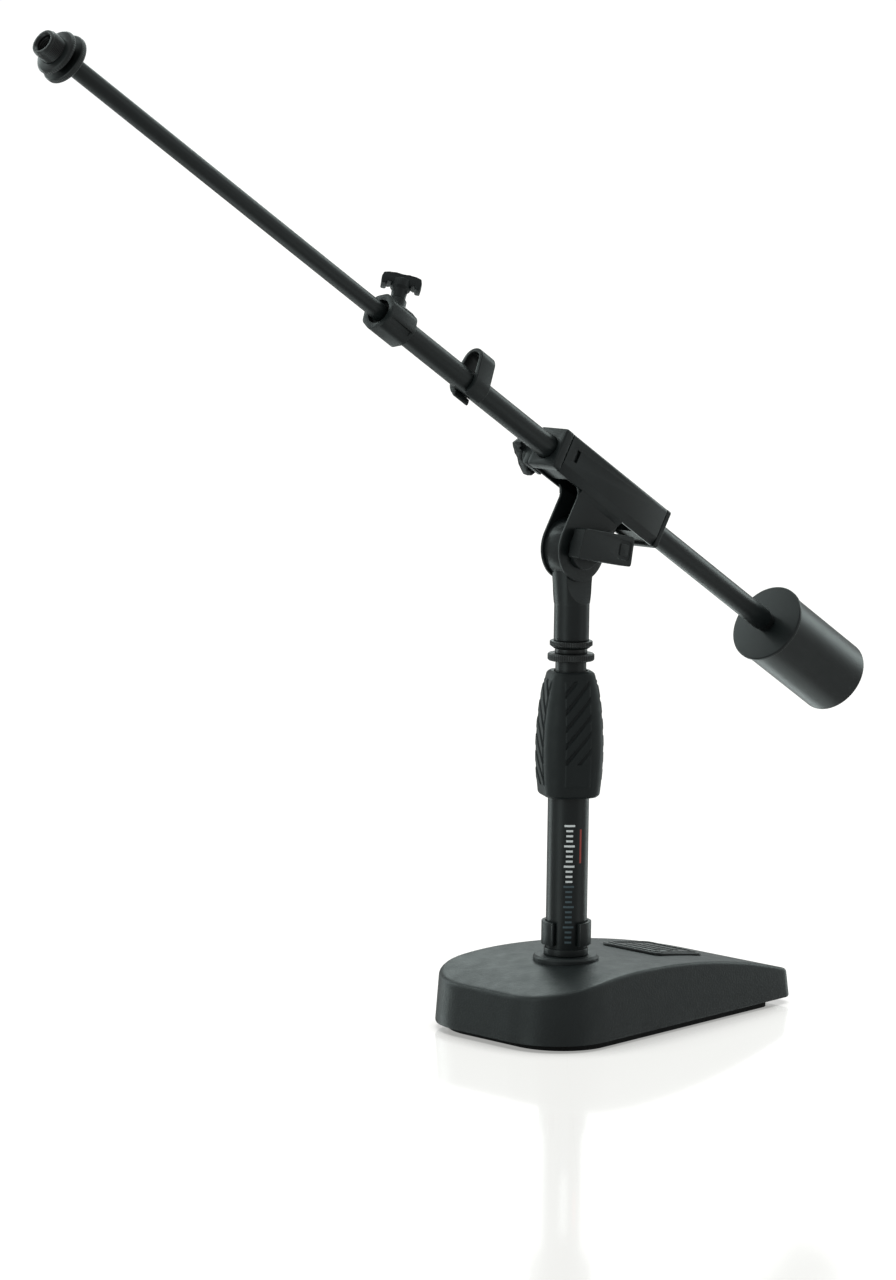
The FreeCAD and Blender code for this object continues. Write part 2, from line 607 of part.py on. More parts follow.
turned("boom_outer_tube", ring_profile("boom_bore", "boom_rad", "0", "boom_front + boom_rear"),
       boom("-boom_rear"))
turned("boom_inner_tube", ring_profile("inner_bore", "inner_rad", "0", "inner_front - inner_rear"),
       boom("inner_rear"))
turned("inner_guide_bush", [
    ("guide_bore", "-9"), ("boom_bore - run_play", "-9"), ("boom_bore - run_play", "0"),
    ("inner_bore - press_play", "0"), ("inner_bore - press_play", "11"), ("guide_bore", "11")],
    boom("inner_rear"))
turned("weight_stud", [
    ("0", "-weight_stud_long"), ("weight_stud_rad", "-weight_stud_long"), ("weight_stud_rad", "0"),
    ("weight_neck_rad", "0"), ("weight_neck_rad", "weight_front - boom_rear"),
    ("boom_bore - press_play", "weight_front - boom_rear"), ("boom_bore - press_play", "20"), ("0", "20")],
    boom("-weight_front"))

# ---------------------------------------------------------------- boom clutch


def thumb_knob(label, stem_long, placement):
    """Thumb screw head: a round stem under a crowned bar with down-turned ends; local Z runs outward."""
    stem = cylinder("knob_hub", stem_long)
    body = doc.addObject("PartDesign::Body", "Bar")
    half = [("0", "knob_tall"), ("knob_reach - 4", "knob_tall - 0.5"), ("knob_reach - 0.6", "knob_tall - 1.6"),
            ("knob_reach", "0.6"), ("knob_reach - 0.6", "0"), ("knob_reach - knob_arm", "0"),
            ("knob_reach - knob_arm - 1", "2"), ("0", "2")]
    other = [(f"-({across})", height) for across, height in half[-2:0:-1]]
    sketch = outline(body, "XZ_Plane", half + other)
    pad = body.newObject("PartDesign::Pad", "Pad")
    pad.Profile = sketch
    pad.Midplane = True
    bind(pad, Length="knob_wide")
    body.Placement = at(z=value(stem_long) - 2.5)
    socket = cylinder("screw_rad + press_play", "7")
    return node(cut(fuse(stem, body), socket), label, placement)


def thumb_screw(label, length, placement):
    tall = str(length)
    return turned(label, [("0", "0"), ("screw_rad", "0"), ("screw_rad", tall), ("0", tall)], placement)


LOCK_BAR_TURN = 122.0
CLUTCH_BAR_TURN = -47.0
lock_out = boom("lock_station", rotation=ALONG_Y.multiply(Rotation(Vector(0, 0, 1), LOCK_BAR_TURN)),
                up="-lock_drop", across="boss_end + 0.3")
thumb_knob("boom_lock_knob", "lock_stem", lock_out)
lock_screw_reach = value("boss_end + 0.3 - boom_rad") - 1.4
thumb_screw("boom_lock_screw", lock_screw_reach + 7, lock_out.multiply(at(z=-lock_screw_reach)))

STEM = Rotation(Vector(0, 0, 1), value("collar_turn")).multiply(ALONG_X)
clutch_turn = Rotation(Vector(0, 0, 1), CLUTCH_BAR_TURN)
clutch_out = boom("clutch_station", rotation=STEM).multiply(at(z=14.8, rotation=clutch_turn))


def clutch_body():
    """Eight-sided collar clamped on the outer tube's end, with a boss for the thumb screw."""
    prism = doc.addObject("Part::Prism", "Octagon")
    prism.Polygon = 8
    bind(prism, Circumradius="collar_half / cos(22.5deg)", Height="collar_front - collar_rear")
    prism_turn = Rotation(Vector(0, 0, 1), 22.5 + value("collar_turn"))
    prism.Placement = at(z=value("collar_rear"), rotation=prism_turn)
    shell = rounded(prism, "4.5", along(BOOM_AXIS))
    stem_place = Placement(Vector(0, 0, value("clutch_station")), STEM)
    boss = cylinder("5.6", "6.6", stem_place.multiply(at(z=8)))
    tube_seat = cylinder("boom_rad + press_play", "boom_front - collar_rear + 1",
                         at(z=value("collar_rear") - 1))
    mouth = cylinder("mouth_rad", "12", at(z=value("boom_front")))
    thread = cylinder("screw_rad + run_play", "20", stem_place.multiply(at(z=6.5)))
    solid = cut(fuse(shell, boss), tube_seat, mouth, thread)
    return node(solid, "boom_clutch_body", boom())


clutch_body()
turned("clutch_gland", ring_profile("inner_rad + run_play", "gland_rad", "0", "gland_thick"),
       boom("boom_front + 0.1"))
thumb_knob("clutch_knob", "knob_stem", clutch_out)
thumb_screw("clutch_screw", 14.0, clutch_out.multiply(at(z=-7.2)))

# ---------------------------------------------------------------- boom cable clip


def boom_cable_clip():
    """Snap clip: a ring round the tube, open below, drawn up into a tall loop for the cable."""
    top = value("loop_top")
    long = "loop_long"
    outer = fuse(cylinder("loop_rad", long), cylinder("loop_top_rad", long, at(x=top)),
                 block("loop_top", "loop_top_rad * 2", long, at(x=top / 2)))
    inner = fuse(cylinder("boom_rad + 0.3", f"{long} + 2", at(z=-1)),
                 cylinder("loop_top_rad - 2.2", f"{long} + 2", at(x=top, z=-1)),
                 block("loop_top", "loop_top_rad * 2 - 4.4", f"{long} + 2", at(x=top / 2, z=-1)))
    mouth_turn = Rotation(Vector(0, 0, 1), 180 + 18)
    mouth = block("14", "9", f"{long} + 2", at(z=-1).multiply(at(rotation=mouth_turn)).multiply(at(x=7)))
    lip_turn = Rotation(Vector(0, 0, 1), 180 - 22)
    lip = block("6", "2", long, at(rotation=lip_turn).multiply(at(x=10.6, y=-1)))
    return node(fuse(cut(outer, inner, mouth), lip), "boom_cable_clip", boom("loop_rear"))


boom_cable_clip()

# ---------------------------------------------------------------- tip

turned("tip_adapter", [
    ("0", "-14"), ("inner_bore - press_play", "-14"), ("inner_bore - press_play", "0"),
    ("tip_flange_rad - 0.5", "0"),
    ("tip_flange_rad", "0.5"), ("tip_flange_rad", "tip_flange_thick - 0.5"),
    ("tip_flange_rad - 0.5", "tip_flange_thick"), ("thread_rad - 0.3", "tip_flange_thick"),
    ("thread_rad - 0.3", "tip_ring_front - inner_front + 0.1"),
    ("thread_rad", "tip_ring_front - inner_front + 0.1"),
    ("thread_rad", "tip_end - inner_front - 1.6"), ("thread_rad - 0.6", "tip_end - inner_front"),
    ("tip_bore_rad + 1.3", "tip_end - inner_front"), ("tip_bore_rad", "tip_end - inner_front - 1.3"),
    ("tip_bore_rad", "5"), ("0", "5")], boom("inner_front"))
turned("tip_lock_ring", [
    ("thread_rad + thread_play", "0"), ("ring_rad - 0.5", "0"), ("ring_rad", "0.5"), ("ring_rad", "1.8"),
    ("ring_rad - 2.8", "tip_ring_front - tip_ring_rear"),
    ("thread_rad + thread_play", "tip_ring_front - tip_ring_rear")],
    boom("tip_ring_rear"))

# ---------------------------------------------------------------- counterweight

turned("counterweight", [
    ("0", "0"), ("weight_rad - 2", "0"), ("weight_rad - 0.6", "0.6"), ("weight_rad", "2"),
    ("weight_rad", "weight_rear - weight_front - 2.6"),
    ("weight_lip_rad", "weight_rear - weight_front - 2.6"),
    ("weight_lip_rad", "weight_rear - weight_front - 0.6"),
    ("weight_lip_rad - 0.6", "weight_rear - weight_front"),
    ("weight_stud_rad + thread_play", "weight_rear - weight_front"),
    ("weight_stud_rad + thread_play", "weight_rear - weight_front - weight_stud_long - 1"),
    ("0", "weight_rear - weight_front - weight_stud_long - 1")], boom("-weight_rear"))

# ---------------------------------------------------------------- check and write

doc.recompute()
for thing in doc.Objects:
    if {"Invalid", "Error"} & set(thing.State):
        raise RuntimeError(f"{thing.Label}: {thing.State}")
os.makedirs("parts", exist_ok=True)
for thing in NODES:
    shape = thing.Shape
    if shape.isNull() or not shape.isValid() or shape.Volume <= 0:
        raise RuntimeError(f"{thing.Label}: no valid solid")
    shape.exportStep(f"parts/{thing.Label}.step")
    print(f"{thing.Label}: {len(shape.Solids)} solid(s), {shape.Volume / 1000:.1f} cm3")
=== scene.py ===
"""Boom microphone stand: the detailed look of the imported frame.

Lengths below are millimetres in each piece's own frame and become metres when its mesh is made.
The mast's frame is the row frame. The boom's frame has Z along the boom to its tip, X square to
it and up, and Y across.
"""
import json
import math

import bmesh
import bpy
from mathutils import Matrix, Vector


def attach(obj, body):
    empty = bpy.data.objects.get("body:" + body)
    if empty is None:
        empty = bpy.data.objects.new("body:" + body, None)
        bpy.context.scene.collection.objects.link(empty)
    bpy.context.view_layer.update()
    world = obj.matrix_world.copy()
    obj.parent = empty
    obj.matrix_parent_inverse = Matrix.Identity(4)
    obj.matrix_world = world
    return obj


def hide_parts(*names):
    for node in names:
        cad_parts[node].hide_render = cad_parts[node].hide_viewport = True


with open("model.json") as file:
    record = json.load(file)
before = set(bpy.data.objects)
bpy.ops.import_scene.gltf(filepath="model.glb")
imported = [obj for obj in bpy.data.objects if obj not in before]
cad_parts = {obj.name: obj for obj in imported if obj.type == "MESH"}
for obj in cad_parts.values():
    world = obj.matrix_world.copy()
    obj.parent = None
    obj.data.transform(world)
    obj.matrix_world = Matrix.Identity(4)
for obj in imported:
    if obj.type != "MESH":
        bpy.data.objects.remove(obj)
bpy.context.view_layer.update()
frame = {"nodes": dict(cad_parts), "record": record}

MM = 0.001
JOINTS = {joint["name"]: joint for joint in frame["record"]["behaviour"]["joints"]}

# ---------------------------------------------------------------- frames

MAST = Matrix.Identity(4)
PIVOT = Vector(JOINTS["boom_tilt"]["pos_m"]) / MM
BOOM_OFFSET = 41.6


def boom_frame():
    along = Vector(JOINTS["boom_slide"]["axis"]).normalized()
    across = Vector((0, 1, 0))
    up = across.cross(along)
    origin = PIVOT + up * BOOM_OFFSET
    matrix = Matrix((up, across, along)).transposed().to_4x4()
    matrix.translation = origin
    return matrix


BOOM = boom_frame()


def shift(x=0.0, y=0.0, z=0.0):
    return Matrix.Translation((x, y, z))


def spin(degrees, axis):
    return Matrix.Rotation(math.radians(degrees), 4, axis)


# Local Z turned to run along +Y, as the CAD's cross pieces have it
ALONG_Y = spin(-90, "X")
ALONG_X = spin(90, "Y")

# ---------------------------------------------------------------- mesh tools


def soften(points, radius, closed=False, steps=3):
    """Round every real corner of a polyline with a short arc."""
    count = len(points)
    result = []
    for index, point in enumerate(points):
        here = Vector(point)
        if not closed and index in (0, count - 1):
            result.append(here)
            continue
        before = Vector(points[index - 1])
        after = Vector(points[(index + 1) % count])
        back, ahead = before - here, after - here
        turn = math.pi - back.angle(ahead, math.pi)
        if turn < math.radians(12):
            result.append(here)
            continue
        reach = min(radius * math.tan(turn / 2), back.length * 0.45, ahead.length * 0.45)
        start = here + back.normalized() * reach
        stop = here + ahead.normalized() * reach
        for step in range(steps + 1):
            share = step / steps
            result.append(start * (1 - share) ** 2 + here * 2 * share * (1 - share) + stop * share ** 2)
    return result


def make(name, verts, faces, place, smooth=40):
    """A mesh object from millimetre points in a local frame, shaded smooth up to an angle."""
    mesh = bpy.data.meshes.new(name)
    mesh.from_pydata([(place @ Vector(vert)) * MM for vert in verts], [], faces)
    work = bmesh.new()
    work.from_mesh(mesh)
    bmesh.ops.remove_doubles(work, verts=work.verts, dist=1e-6)
    bmesh.ops.recalc_face_normals(work, faces=work.faces)
    work.to_mesh(mesh)
    work.free()
    mesh.shade_smooth()
    mesh.set_sharp_from_angle(angle=math.radians(smooth))
    thing = bpy.data.objects.new(name, mesh)
    bpy.context.scene.collection.objects.link(thing)
    return thing


def grid_faces(rows, columns, wrap=True):
    """Quads of a rows x columns grid of points, its columns joined round when wrap is set."""
    faces = []
    for row in range(rows - 1):
        for column in range(columns if wrap else columns - 1):
            right = (column + 1) % columns
            faces.append((row * columns + column, row * columns + right,
                          (row + 1) * columns + right, (row + 1) * columns + column))
    return faces


def lathe(name, profile, place, steps=96, edge=0.4, shape=None, smooth=40):
    """Turn (radius, height) corners about local Z. shape(angle, radius, height) can move a radius."""
    line = soften([Vector((radius, height, 0)) for radius, height in profile], edge)
    verts = []
    for point in line:
        for step in range(steps):
            angle = 2 * math.pi * step / steps
            radius = shape(angle, point.x, point.y) if shape else point.x
            verts.append((radius * math.cos(angle), radius * math.sin(angle), point.y))
    return make(name, verts, grid_faces(len(line), steps), place, smooth)


def screw(name, radius, depth, pitch, foot, top, place, steps=48, inner=False):
    """A threaded surface: sharp-crested helix between two heights on a cylinder."""
    rows = int((top - foot) / pitch * 8)
    verts = []
    for row in range(rows + 1):
        height = foot + (top - foot) * row / rows
        fade = min(1.0, (height - foot) / pitch, (top - height) / pitch)
        for step in range(steps):
            angle = 2 * math.pi * step / steps
            phase = (height / pitch - step / steps) % 1.0
            wave = abs(phase * 2 - 1)
            change = depth * wave * fade
            reach = radius + change if inner else radius - depth + change
            verts.append((reach * math.cos(angle), reach * math.sin(angle), height))
    return make(name, verts, grid_faces(rows + 1, steps), place, 180)


def slab(name, outline, foot, top, place, edge=0.5, steps=3, smooth=40):
    """A flat piece: a closed outline raised between two heights, its rims bevelled."""
    count = len(outline)
    verts = [(x, y, foot) for x, y, *_ in outline] + [(x, y, top) for x, y, *_ in outline]
    faces = [tuple(reversed(range(count))), tuple(range(count, count * 2))]
    for index in range(count):
        other = (index + 1) % count
        faces.append((index, other, other + count, index + count))
    thing = make(name, verts, faces, place, 180)
    if edge:
        bevel(thing, edge, steps)
    thing.data.set_sharp_from_angle(angle=math.radians(smooth))
    return thing


def settle(thing):
    """Apply a piece's modifiers to its mesh."""
    graph = bpy.context.evaluated_depsgraph_get()
    mesh = bpy.data.meshes.new_from_object(thing.evaluated_get(graph))
    thing.modifiers.clear()
    thing.data = mesh
    mesh.name = thing.name
    return thing


def bevel(thing, width, steps=3, limit=35):
    """Round the sharp edges of a mesh."""
    tool = thing.modifiers.new("Bevel", "BEVEL")
    tool.width = width * MM
    tool.segments = steps
    tool.limit_method = "ANGLE"
    tool.angle_limit = math.radians(limit)
    tool.use_clamp_overlap = True
    tool.harden_normals = False
    return settle(thing)


def boolean(thing, operation, tools):
    for tool in tools:
        step = thing.modifiers.new("Cut", "BOOLEAN")
        step.operation = operation
        step.object = tool
        step.solver = "EXACT"
        settle(thing)
        bpy.data.objects.remove(tool)
    return thing


def carve(thing, *tools):
    return boolean(thing, "DIFFERENCE", tools)


def weld(thing, *tools):
    return boolean(thing, "UNION", tools)


def shaded(thing, angle=35):
    thing.data.shade_smooth()
    thing.data.set_sharp_from_angle(angle=math.radians(angle))
    return thing


def disc_outline(radius, steps=64, start=0.0, stop=360.0):
    closed = stop - start >= 360
    count = steps if closed else steps + 1
    turns = [math.radians(start + (stop - start) * step / steps) for step in range(count)]
    return [Vector((radius * math.cos(turn), radius * math.sin(turn), 0)) for turn in turns]


def box_outline(length, width, radius=0.0, x=0.0, y=0.0, steps=4):
    corners = [(x - length / 2, y - width / 2, 0), (x + length / 2, y - width / 2, 0),
               (x + length / 2, y + width / 2, 0), (x - length / 2, y + width / 2, 0)]
    return soften(corners, radius, closed=True, steps=steps) if radius else [Vector(c) for c in corners]


def drum(radius, foot, top, place, steps=64):
    """A plain tool cylinder for cutting."""
    return slab("tool", disc_outline(radius, steps), foot, top, place, edge=0)


def brick(length, width, foot, top, place, radius=0.0, x=0.0, y=0.0):
    return slab("tool", box_outline(length, width, radius, x, y), foot, top, place, edge=0)


def join(name, *things):
    """Make several meshes one piece."""
    work = bmesh.new()
    for thing in things:
        work.from_mesh(thing.data)
    mesh = bpy.data.meshes.new(name)
    work.to_mesh(mesh)
    work.free()
    for thing in things:
        bpy.data.objects.remove(thing)
    result = bpy.data.objects.new(name, mesh)
    bpy.context.scene.collection.objects.link(result)
    return result


# ---------------------------------------------------------------- materials


class Graph:
    """Short names for the shader nodes a finish is made of."""

    def __init__(self, name):
        self.material = bpy.data.materials.new(name)
        self.material.use_nodes = True
        self.tree = self.material.node_tree
        self.tree.nodes.clear()
        self.coords = self.node("ShaderNodeTexCoord").outputs["Object"]

    def node(self, kind, **settings):
        made = self.tree.nodes.new(kind)
        for key, setting in settings.items():
            setattr(made, key, setting)
        return made

    def link(self, source, socket):
        self.tree.links.new(source, socket)

    def noise(self, scale, detail=4.0, rough=0.5, squeeze=None):
        made = self.node("ShaderNodeTexNoise")
        made.inputs["Scale"].default_value = scale
        made.inputs["Detail"].default_value = detail
        made.inputs["Roughness"].default_value = rough
        source = self.coords
        if squeeze:
            mapping = self.node("ShaderNodeMapping")
            mapping.inputs["Scale"].default_value = squeeze
            self.link(source, mapping.inputs["Vector"])
            source = mapping.outputs["Vector"]
        self.link(source, made.inputs["Vector"])
        return made.outputs["Fac"]

    def ramp(self, source, low, high, start=0.0, stop=1.0):
        made = self.node("ShaderNodeMapRange")
        self.link(source, made.inputs["Value"])
        made.inputs["From Min"].default_value = start
        made.inputs["From Max"].default_value = stop
        made.inputs["To Min"].default_value = low
        made.inputs["To Max"].default_value = high
        return made.outputs["Result"]

    def mix(self, share, first, second):
        made = self.node("ShaderNodeMix", data_type="RGBA")
        self.link(share, made.inputs[0])
        made.inputs[6].default_value = (*first, 1)
        made.inputs[7].default_value = (*second, 1)
        return made.outputs[2]

    def edges(self, width):
        """1 on worn convex edges, 0 on flats."""
        bevelled = self.node("ShaderNodeBevel", samples=4)
        bevelled.inputs["Radius"].default_value = width
        geometry = self.node("ShaderNodeNewGeometry")
        facing = self.node("ShaderNodeVectorMath", operation="DOT_PRODUCT")
        self.link(bevelled.outputs["Normal"], facing.inputs[0])
        self.link(geometry.outputs["Normal"], facing.inputs[1])
        return self.ramp(facing.outputs["Value"], 1.0, 0.0, 0.88, 0.975)


def finish(name, dark, light, rough, metallic=0.0, grain=(1500.0, 0.05), waves=(90.0, 0.02),
           patches=30.0, wear=0.0, coat=0.0, sheen=0.0, specular=0.5):
    """A painted, moulded or plated finish: patchy colour and gloss, fine grain, softly worn edges."""
    graph = Graph(name)
    shader = graph.node("ShaderNodeBsdfPrincipled")
    output = graph.node("ShaderNodeOutputMaterial")
    graph.link(shader.outputs["BSDF"], output.inputs["Surface"])
    patch = graph.noise(patches, 5.0, 0.6)
    colour = graph.mix(graph.ramp(patch, 0.0, 1.0, 0.3, 0.7), dark, light)
    if wear:
        worn = graph.node("ShaderNodeMix", data_type="RGBA")
        spots = graph.node("ShaderNodeMath", operation="MULTIPLY")
        graph.link(graph.edges(0.0006), spots.inputs[0])
        graph.link(graph.ramp(graph.noise(400.0, 3.0), 0.0, wear, 0.35, 0.7), spots.inputs[1])
        graph.link(spots.outputs["Value"], worn.inputs[0])
        graph.link(colour, worn.inputs[6])
        worn.inputs[7].default_value = (*(min(1.0, c * 5 + 0.03) for c in light), 1)
        colour = worn.outputs[2]
    graph.link(colour, shader.inputs["Base Color"])
    gloss = graph.noise(patches * 3.1, 6.0, 0.65)
    graph.link(graph.ramp(gloss, rough[0], rough[1], 0.25, 0.75), shader.inputs["Roughness"])
    shader.inputs["Metallic"].default_value = metallic
    shader.inputs["Specular IOR Level"].default_value = specular
    shader.inputs["Coat Weight"].default_value = coat
    shader.inputs["Coat Roughness"].default_value = 0.25
    shader.inputs["Sheen Weight"].default_value = sheen
    fine = graph.node("ShaderNodeBump")
    fine.inputs["Strength"].default_value = 1.0
    fine.inputs["Distance"].default_value = grain[1] * MM
    graph.link(graph.noise(grain[0], 2.0, 0.5), fine.inputs["Height"])
    wide = graph.node("ShaderNodeBump")
    wide.inputs["Strength"].default_value = 1.0
    wide.inputs["Distance"].default_value = waves[1] * MM
    graph.link(graph.noise(waves[0], 2.0, 0.5), wide.inputs["Height"])
    graph.link(fine.outputs["Normal"], wide.inputs["Normal"])
    graph.link(wide.outputs["Normal"], shader.inputs["Normal"])
    return graph.material


FINISH = {
    "cast_base": finish("cast_iron_black", (0.0055, 0.0082, 0.0084), (0.0085, 0.0118, 0.0120), (0.40, 0.54),
                        grain=(800.0, 0.13), waves=(60.0, 0.04), wear=0.06, specular=0.34),
    "black_metal": finish("black_enamel", (0.0055, 0.0078, 0.0080), (0.0075, 0.0102, 0.0104), (0.37, 0.41),
                          grain=(2600.0, 0.006), waves=(120.0, 0.006), wear=0.04, specular=0.30),
    "black_steel": finish("black_zinc", (0.0075, 0.0090, 0.0090), (0.0120, 0.0140, 0.0140), (0.31, 0.37),
                          metallic=0.10, grain=(2600.0, 0.006), waves=(120.0, 0.006), wear=0.12,
                          specular=0.40),
    "bright_steel": finish("bright_zinc", (0.42, 0.42, 0.41), (0.55, 0.55, 0.54), (0.22, 0.38),
                           metallic=1.0, grain=(2600.0, 0.01), waves=(200.0, 0.01), wear=0.0),
    "black_plastic": finish("black_nylon", (0.0055, 0.0078, 0.0080), (0.0075, 0.0102, 0.0104), (0.42, 0.47),
                            grain=(1900.0, 0.012), waves=(90.0, 0.02), wear=0.04, specular=0.30),
    "rubber_grip": finish("grip_rubber", (0.0070, 0.0096, 0.0098), (0.0100, 0.0130, 0.0132), (0.46, 0.60),
                          grain=(1600.0, 0.02), waves=(80.0, 0.02), sheen=0.0, specular=0.24),
    "rubber_foot": finish("foot_rubber", (0.006, 0.006, 0.006), (0.010, 0.010, 0.010), (0.70, 0.85),
                          grain=(1200.0, 0.05), waves=(70.0, 0.03), specular=0.2),
    "badge": finish("badge_moulding", (0.0085, 0.0100, 0.0100), (0.0125, 0.0145, 0.0145), (0.30, 0.42),
                    grain=(1800.0, 0.03), waves=(90.0, 0.02), wear=0.05, specular=0.34),
}
PRINT = {
    "white": finish("print_white", (0.62, 0.64, 0.64), (0.72, 0.74, 0.74), (0.45, 0.55),
                    grain=(3000.0, 0.01)),
    "slate": finish("print_slate", (0.040, 0.066, 0.078), (0.055, 0.085, 0.098), (0.45, 0.55),
                    grain=(3000.0, 0.01)),
    "red": finish("print_red", (0.30, 0.035, 0.025), (0.38, 0.045, 0.03), (0.45, 0.55), grain=(3000.0, 0.01)),
}


def dress(thing, slot, body, *nodes, paint=None):
    """Give a piece its finish and body, and let it stand for CAD nodes."""
    thing.data.materials.clear()
    thing.data.materials.append(paint or FINISH[slot])
    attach(thing, body)
    if nodes:
        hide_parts(*nodes)
    return thing


# ---------------------------------------------------------------- base

CREST_X, CREST_Z = 6.3, 42.6
FRONT_ARC, TAIL_ARC = 301.0, 572.0
BASE_FRONT, BASE_TAIL = 73.2, 163.2
FRONT_HALF, TAIL_HALF = 66.5, 45.6
FRONT_CORNER, TAIL_CORNER = 39.0, 10.0
DRAFT = math.tan(math.radians(3))
BASE_FOOT = 4.0


def crown(x):
    """Height of the casting's top at a distance along it."""
    arc = FRONT_ARC if x < CREST_X else TAIL_ARC
    return CREST_Z - arc + math.sqrt(arc * arc - (x - CREST_X) ** 2)


def base_outline(inset):
    """The casting's plan outline, moved inwards: the same count of points at every inset."""
    lean = math.atan2(FRONT_HALF - TAIL_HALF, BASE_FRONT + BASE_TAIL)
    rise = inset / math.cos(lean)
    front, tail = -BASE_FRONT + inset, BASE_TAIL - inset
    slope = (FRONT_HALF - TAIL_HALF) / (BASE_FRONT + BASE_TAIL)

    def half(x):
        return FRONT_HALF - (x + BASE_FRONT) * slope - rise

    corners = [(front, -half(front), FRONT_CORNER), (tail, -half(tail), TAIL_CORNER),
               (tail, half(tail), TAIL_CORNER), (front, half(front), FRONT_CORNER)]
    arcs = []
    for index, (x, y, radius) in enumerate(corners):
        here = Vector((x, y, 0))
        before = Vector((*corners[index - 1][:2], 0)) - here
        after = Vector((*corners[(index + 1) % 4][:2], 0)) - here
        bend = before.angle(after)
        size = max(radius - inset * 0.6, 1.5)
        middle = here + (before.normalized() + after.normalized()).normalized() * size / math.sin(bend / 2)
        start = here + before.normalized() * size / math.tan(bend / 2) - middle
        stop = here + after.normalized() * size / math.tan(bend / 2) - middle
        sweep = math.pi - bend
        axis = start.cross(stop).normalized()
        arcs.append([middle + Matrix.Rotation(sweep * step / 12, 3, axis) @ start for step in range(13)])
    outline = []
    for index, arc in enumerate(arcs):
        outline.extend(arc)
        start, stop = arc[-1], arcs[(index + 1) % 4][0]
        pieces = 30 if index in (0, 2) else 16
        outline.extend(start.lerp(stop, step / pieces) for step in range(1, pieces))
    return outline


def casting():
    """Drafted wall, rolled rim and crowned top as one skin, open below."""
    rim = 2.4
    rings = []

    def ring(inset, height):
        rings.append([Vector((p.x, p.y, height(p.x))) for p in base_outline(inset)])

    ring(7.0, lambda x: BASE_FOOT + 0.05)
    ring(1.4, lambda x: BASE_FOOT)
    ring(0.3, lambda x: BASE_FOOT + 0.3)
    ring(0.06, lambda x: BASE_FOOT + 1.3)
    for share in (0.3, 0.6, 1.0):
        def wall(x, share=share):
            return BASE_FOOT + 1.3 + (crown(x) - rim - BASE_FOOT - 1.3) * share
        rings.append([Vector((p.x, p.y, wall(p.x))) for p in base_outline(0.06 + DRAFT * 30 * share)])
    side = 0.06 + DRAFT * 30
    for step in range(1, 6):
        turn = math.pi / 2 * step / 5
        drop = rim * (1 - math.sin(turn))
        outline = base_outline(side + rim * (1 - math.cos(turn)))
        rings.append([Vector((p.x, p.y, crown(p.x) - drop)) for p in outline])
    for inset in (5.6, 7.0, 12.0, 19.0, 27.0, 35.0):
        ring(inset, crown)
    columns = len(rings[0])
    spine = [Vector((min(max(p.x, -30.0), 112.0), 0, 0)) for p in rings[-1]]
    rings.append([Vector((p.x, 0, crown(p.x))) for p in spine])
    verts = [point for row in rings for point in row]
    return make("base_shell", verts, grid_faces(len(rings), columns), MAST, 50)


dress(casting(), "cast_base", "base", "base_casting")

flange = lathe("base_flange", [(12.9, 40), (20.3, 40), (20.3, 44.2), (19.0, 45.6), (13.4, 45.6),
                               (12.9, 44.5)], MAST, edge=0.6)
dress(flange, "cast_base", "base", "mast_flange")


def badge():
    """A shallow plate with a plain raised border and three louvre bars."""
    middle = 56.5 + 21.75
    slope = math.degrees(math.asin((middle - CREST_X) / TAIL_ARC))
    place = shift(middle, 0, crown(middle) - 0.2) @ spin(slope, "Y")
    plate = slab("plate", box_outline(43.5, 50, 6, steps=6), -0.6, 1.7, place, edge=0.7)
    rim = slab("rim", box_outline(39, 45, 5, steps=6), 1.2, 2.35, place, edge=0)
    carve(rim, slab("tool", box_outline(34.4, 40.4, 3.6, steps=6), 0.5, 3.5, place, edge=0))
    bevel(rim, 0.3, 2)
    bars = [slab("bar", box_outline(4.2, 33 - abs(step) * 5, 1.6, x=step * 8.2), 1.2, 2.25, place, edge=0.35)
            for step in (-1, 0, 1)]
    return shaded(join("badge_relief", plate, rim, *bars))


dress(badge(), "badge", "base", "badge_plate")

# ---------------------------------------------------------------- mast

TUBE_RADIUS = 12.7


def tube(name, bore, rim, foot, top, place, edge=0.5):
    return lathe(name, [(bore, foot), (rim, foot), (rim, top), (bore, top), (bore, foot)], place, edge=edge)


dress(tube("mast_lower", 11.1, TUBE_RADIUS, 38, 200, MAST), "black_metal", "base", "lower_tube")
dress(tube("mast_foot_collar", 12.8, 13.7, 45.7, 50.0, MAST), "black_metal", "base", "foot_collar")
dress(tube("mast_upper", 7.95, 9.525, 75, 228.2, MAST), "black_metal", "mast", "upper_tube")


PRINT_FACE = 229.0
PRINT_RADIUS = TUBE_RADIUS + 0.03


def printed_bar(name, paint, middle, width, foot, top):
    """A thin printed bar that follows the lower tube's wall, centred on an angle."""
    half = math.degrees(width / TUBE_RADIUS / 2)
    verts = []
    for height in (foot, top):
        for step in range(9):
            turn = math.radians(middle - half + half * 2 * step / 8)
            verts.append((PRINT_RADIUS * math.cos(turn), PRINT_RADIUS * math.sin(turn), height))
    bar = make(name, verts, grid_faces(2, 9, wrap=False), MAST, 180)
    return dress(bar, "black_metal", "base", paint=PRINT[paint])


for index in range(24):
    long_mark = index % 4 == 0
    top = 128.0 - index * 3.15
    paint = "white" if index < 12 else "slate"
    printed_bar(f"mark_{index}", paint, PRINT_FACE, 6.6 if long_mark else 4.2, top - 1.25, top)
printed_bar("mark_small", "red", PRINT_FACE + 33, 1.3, 104, 125)


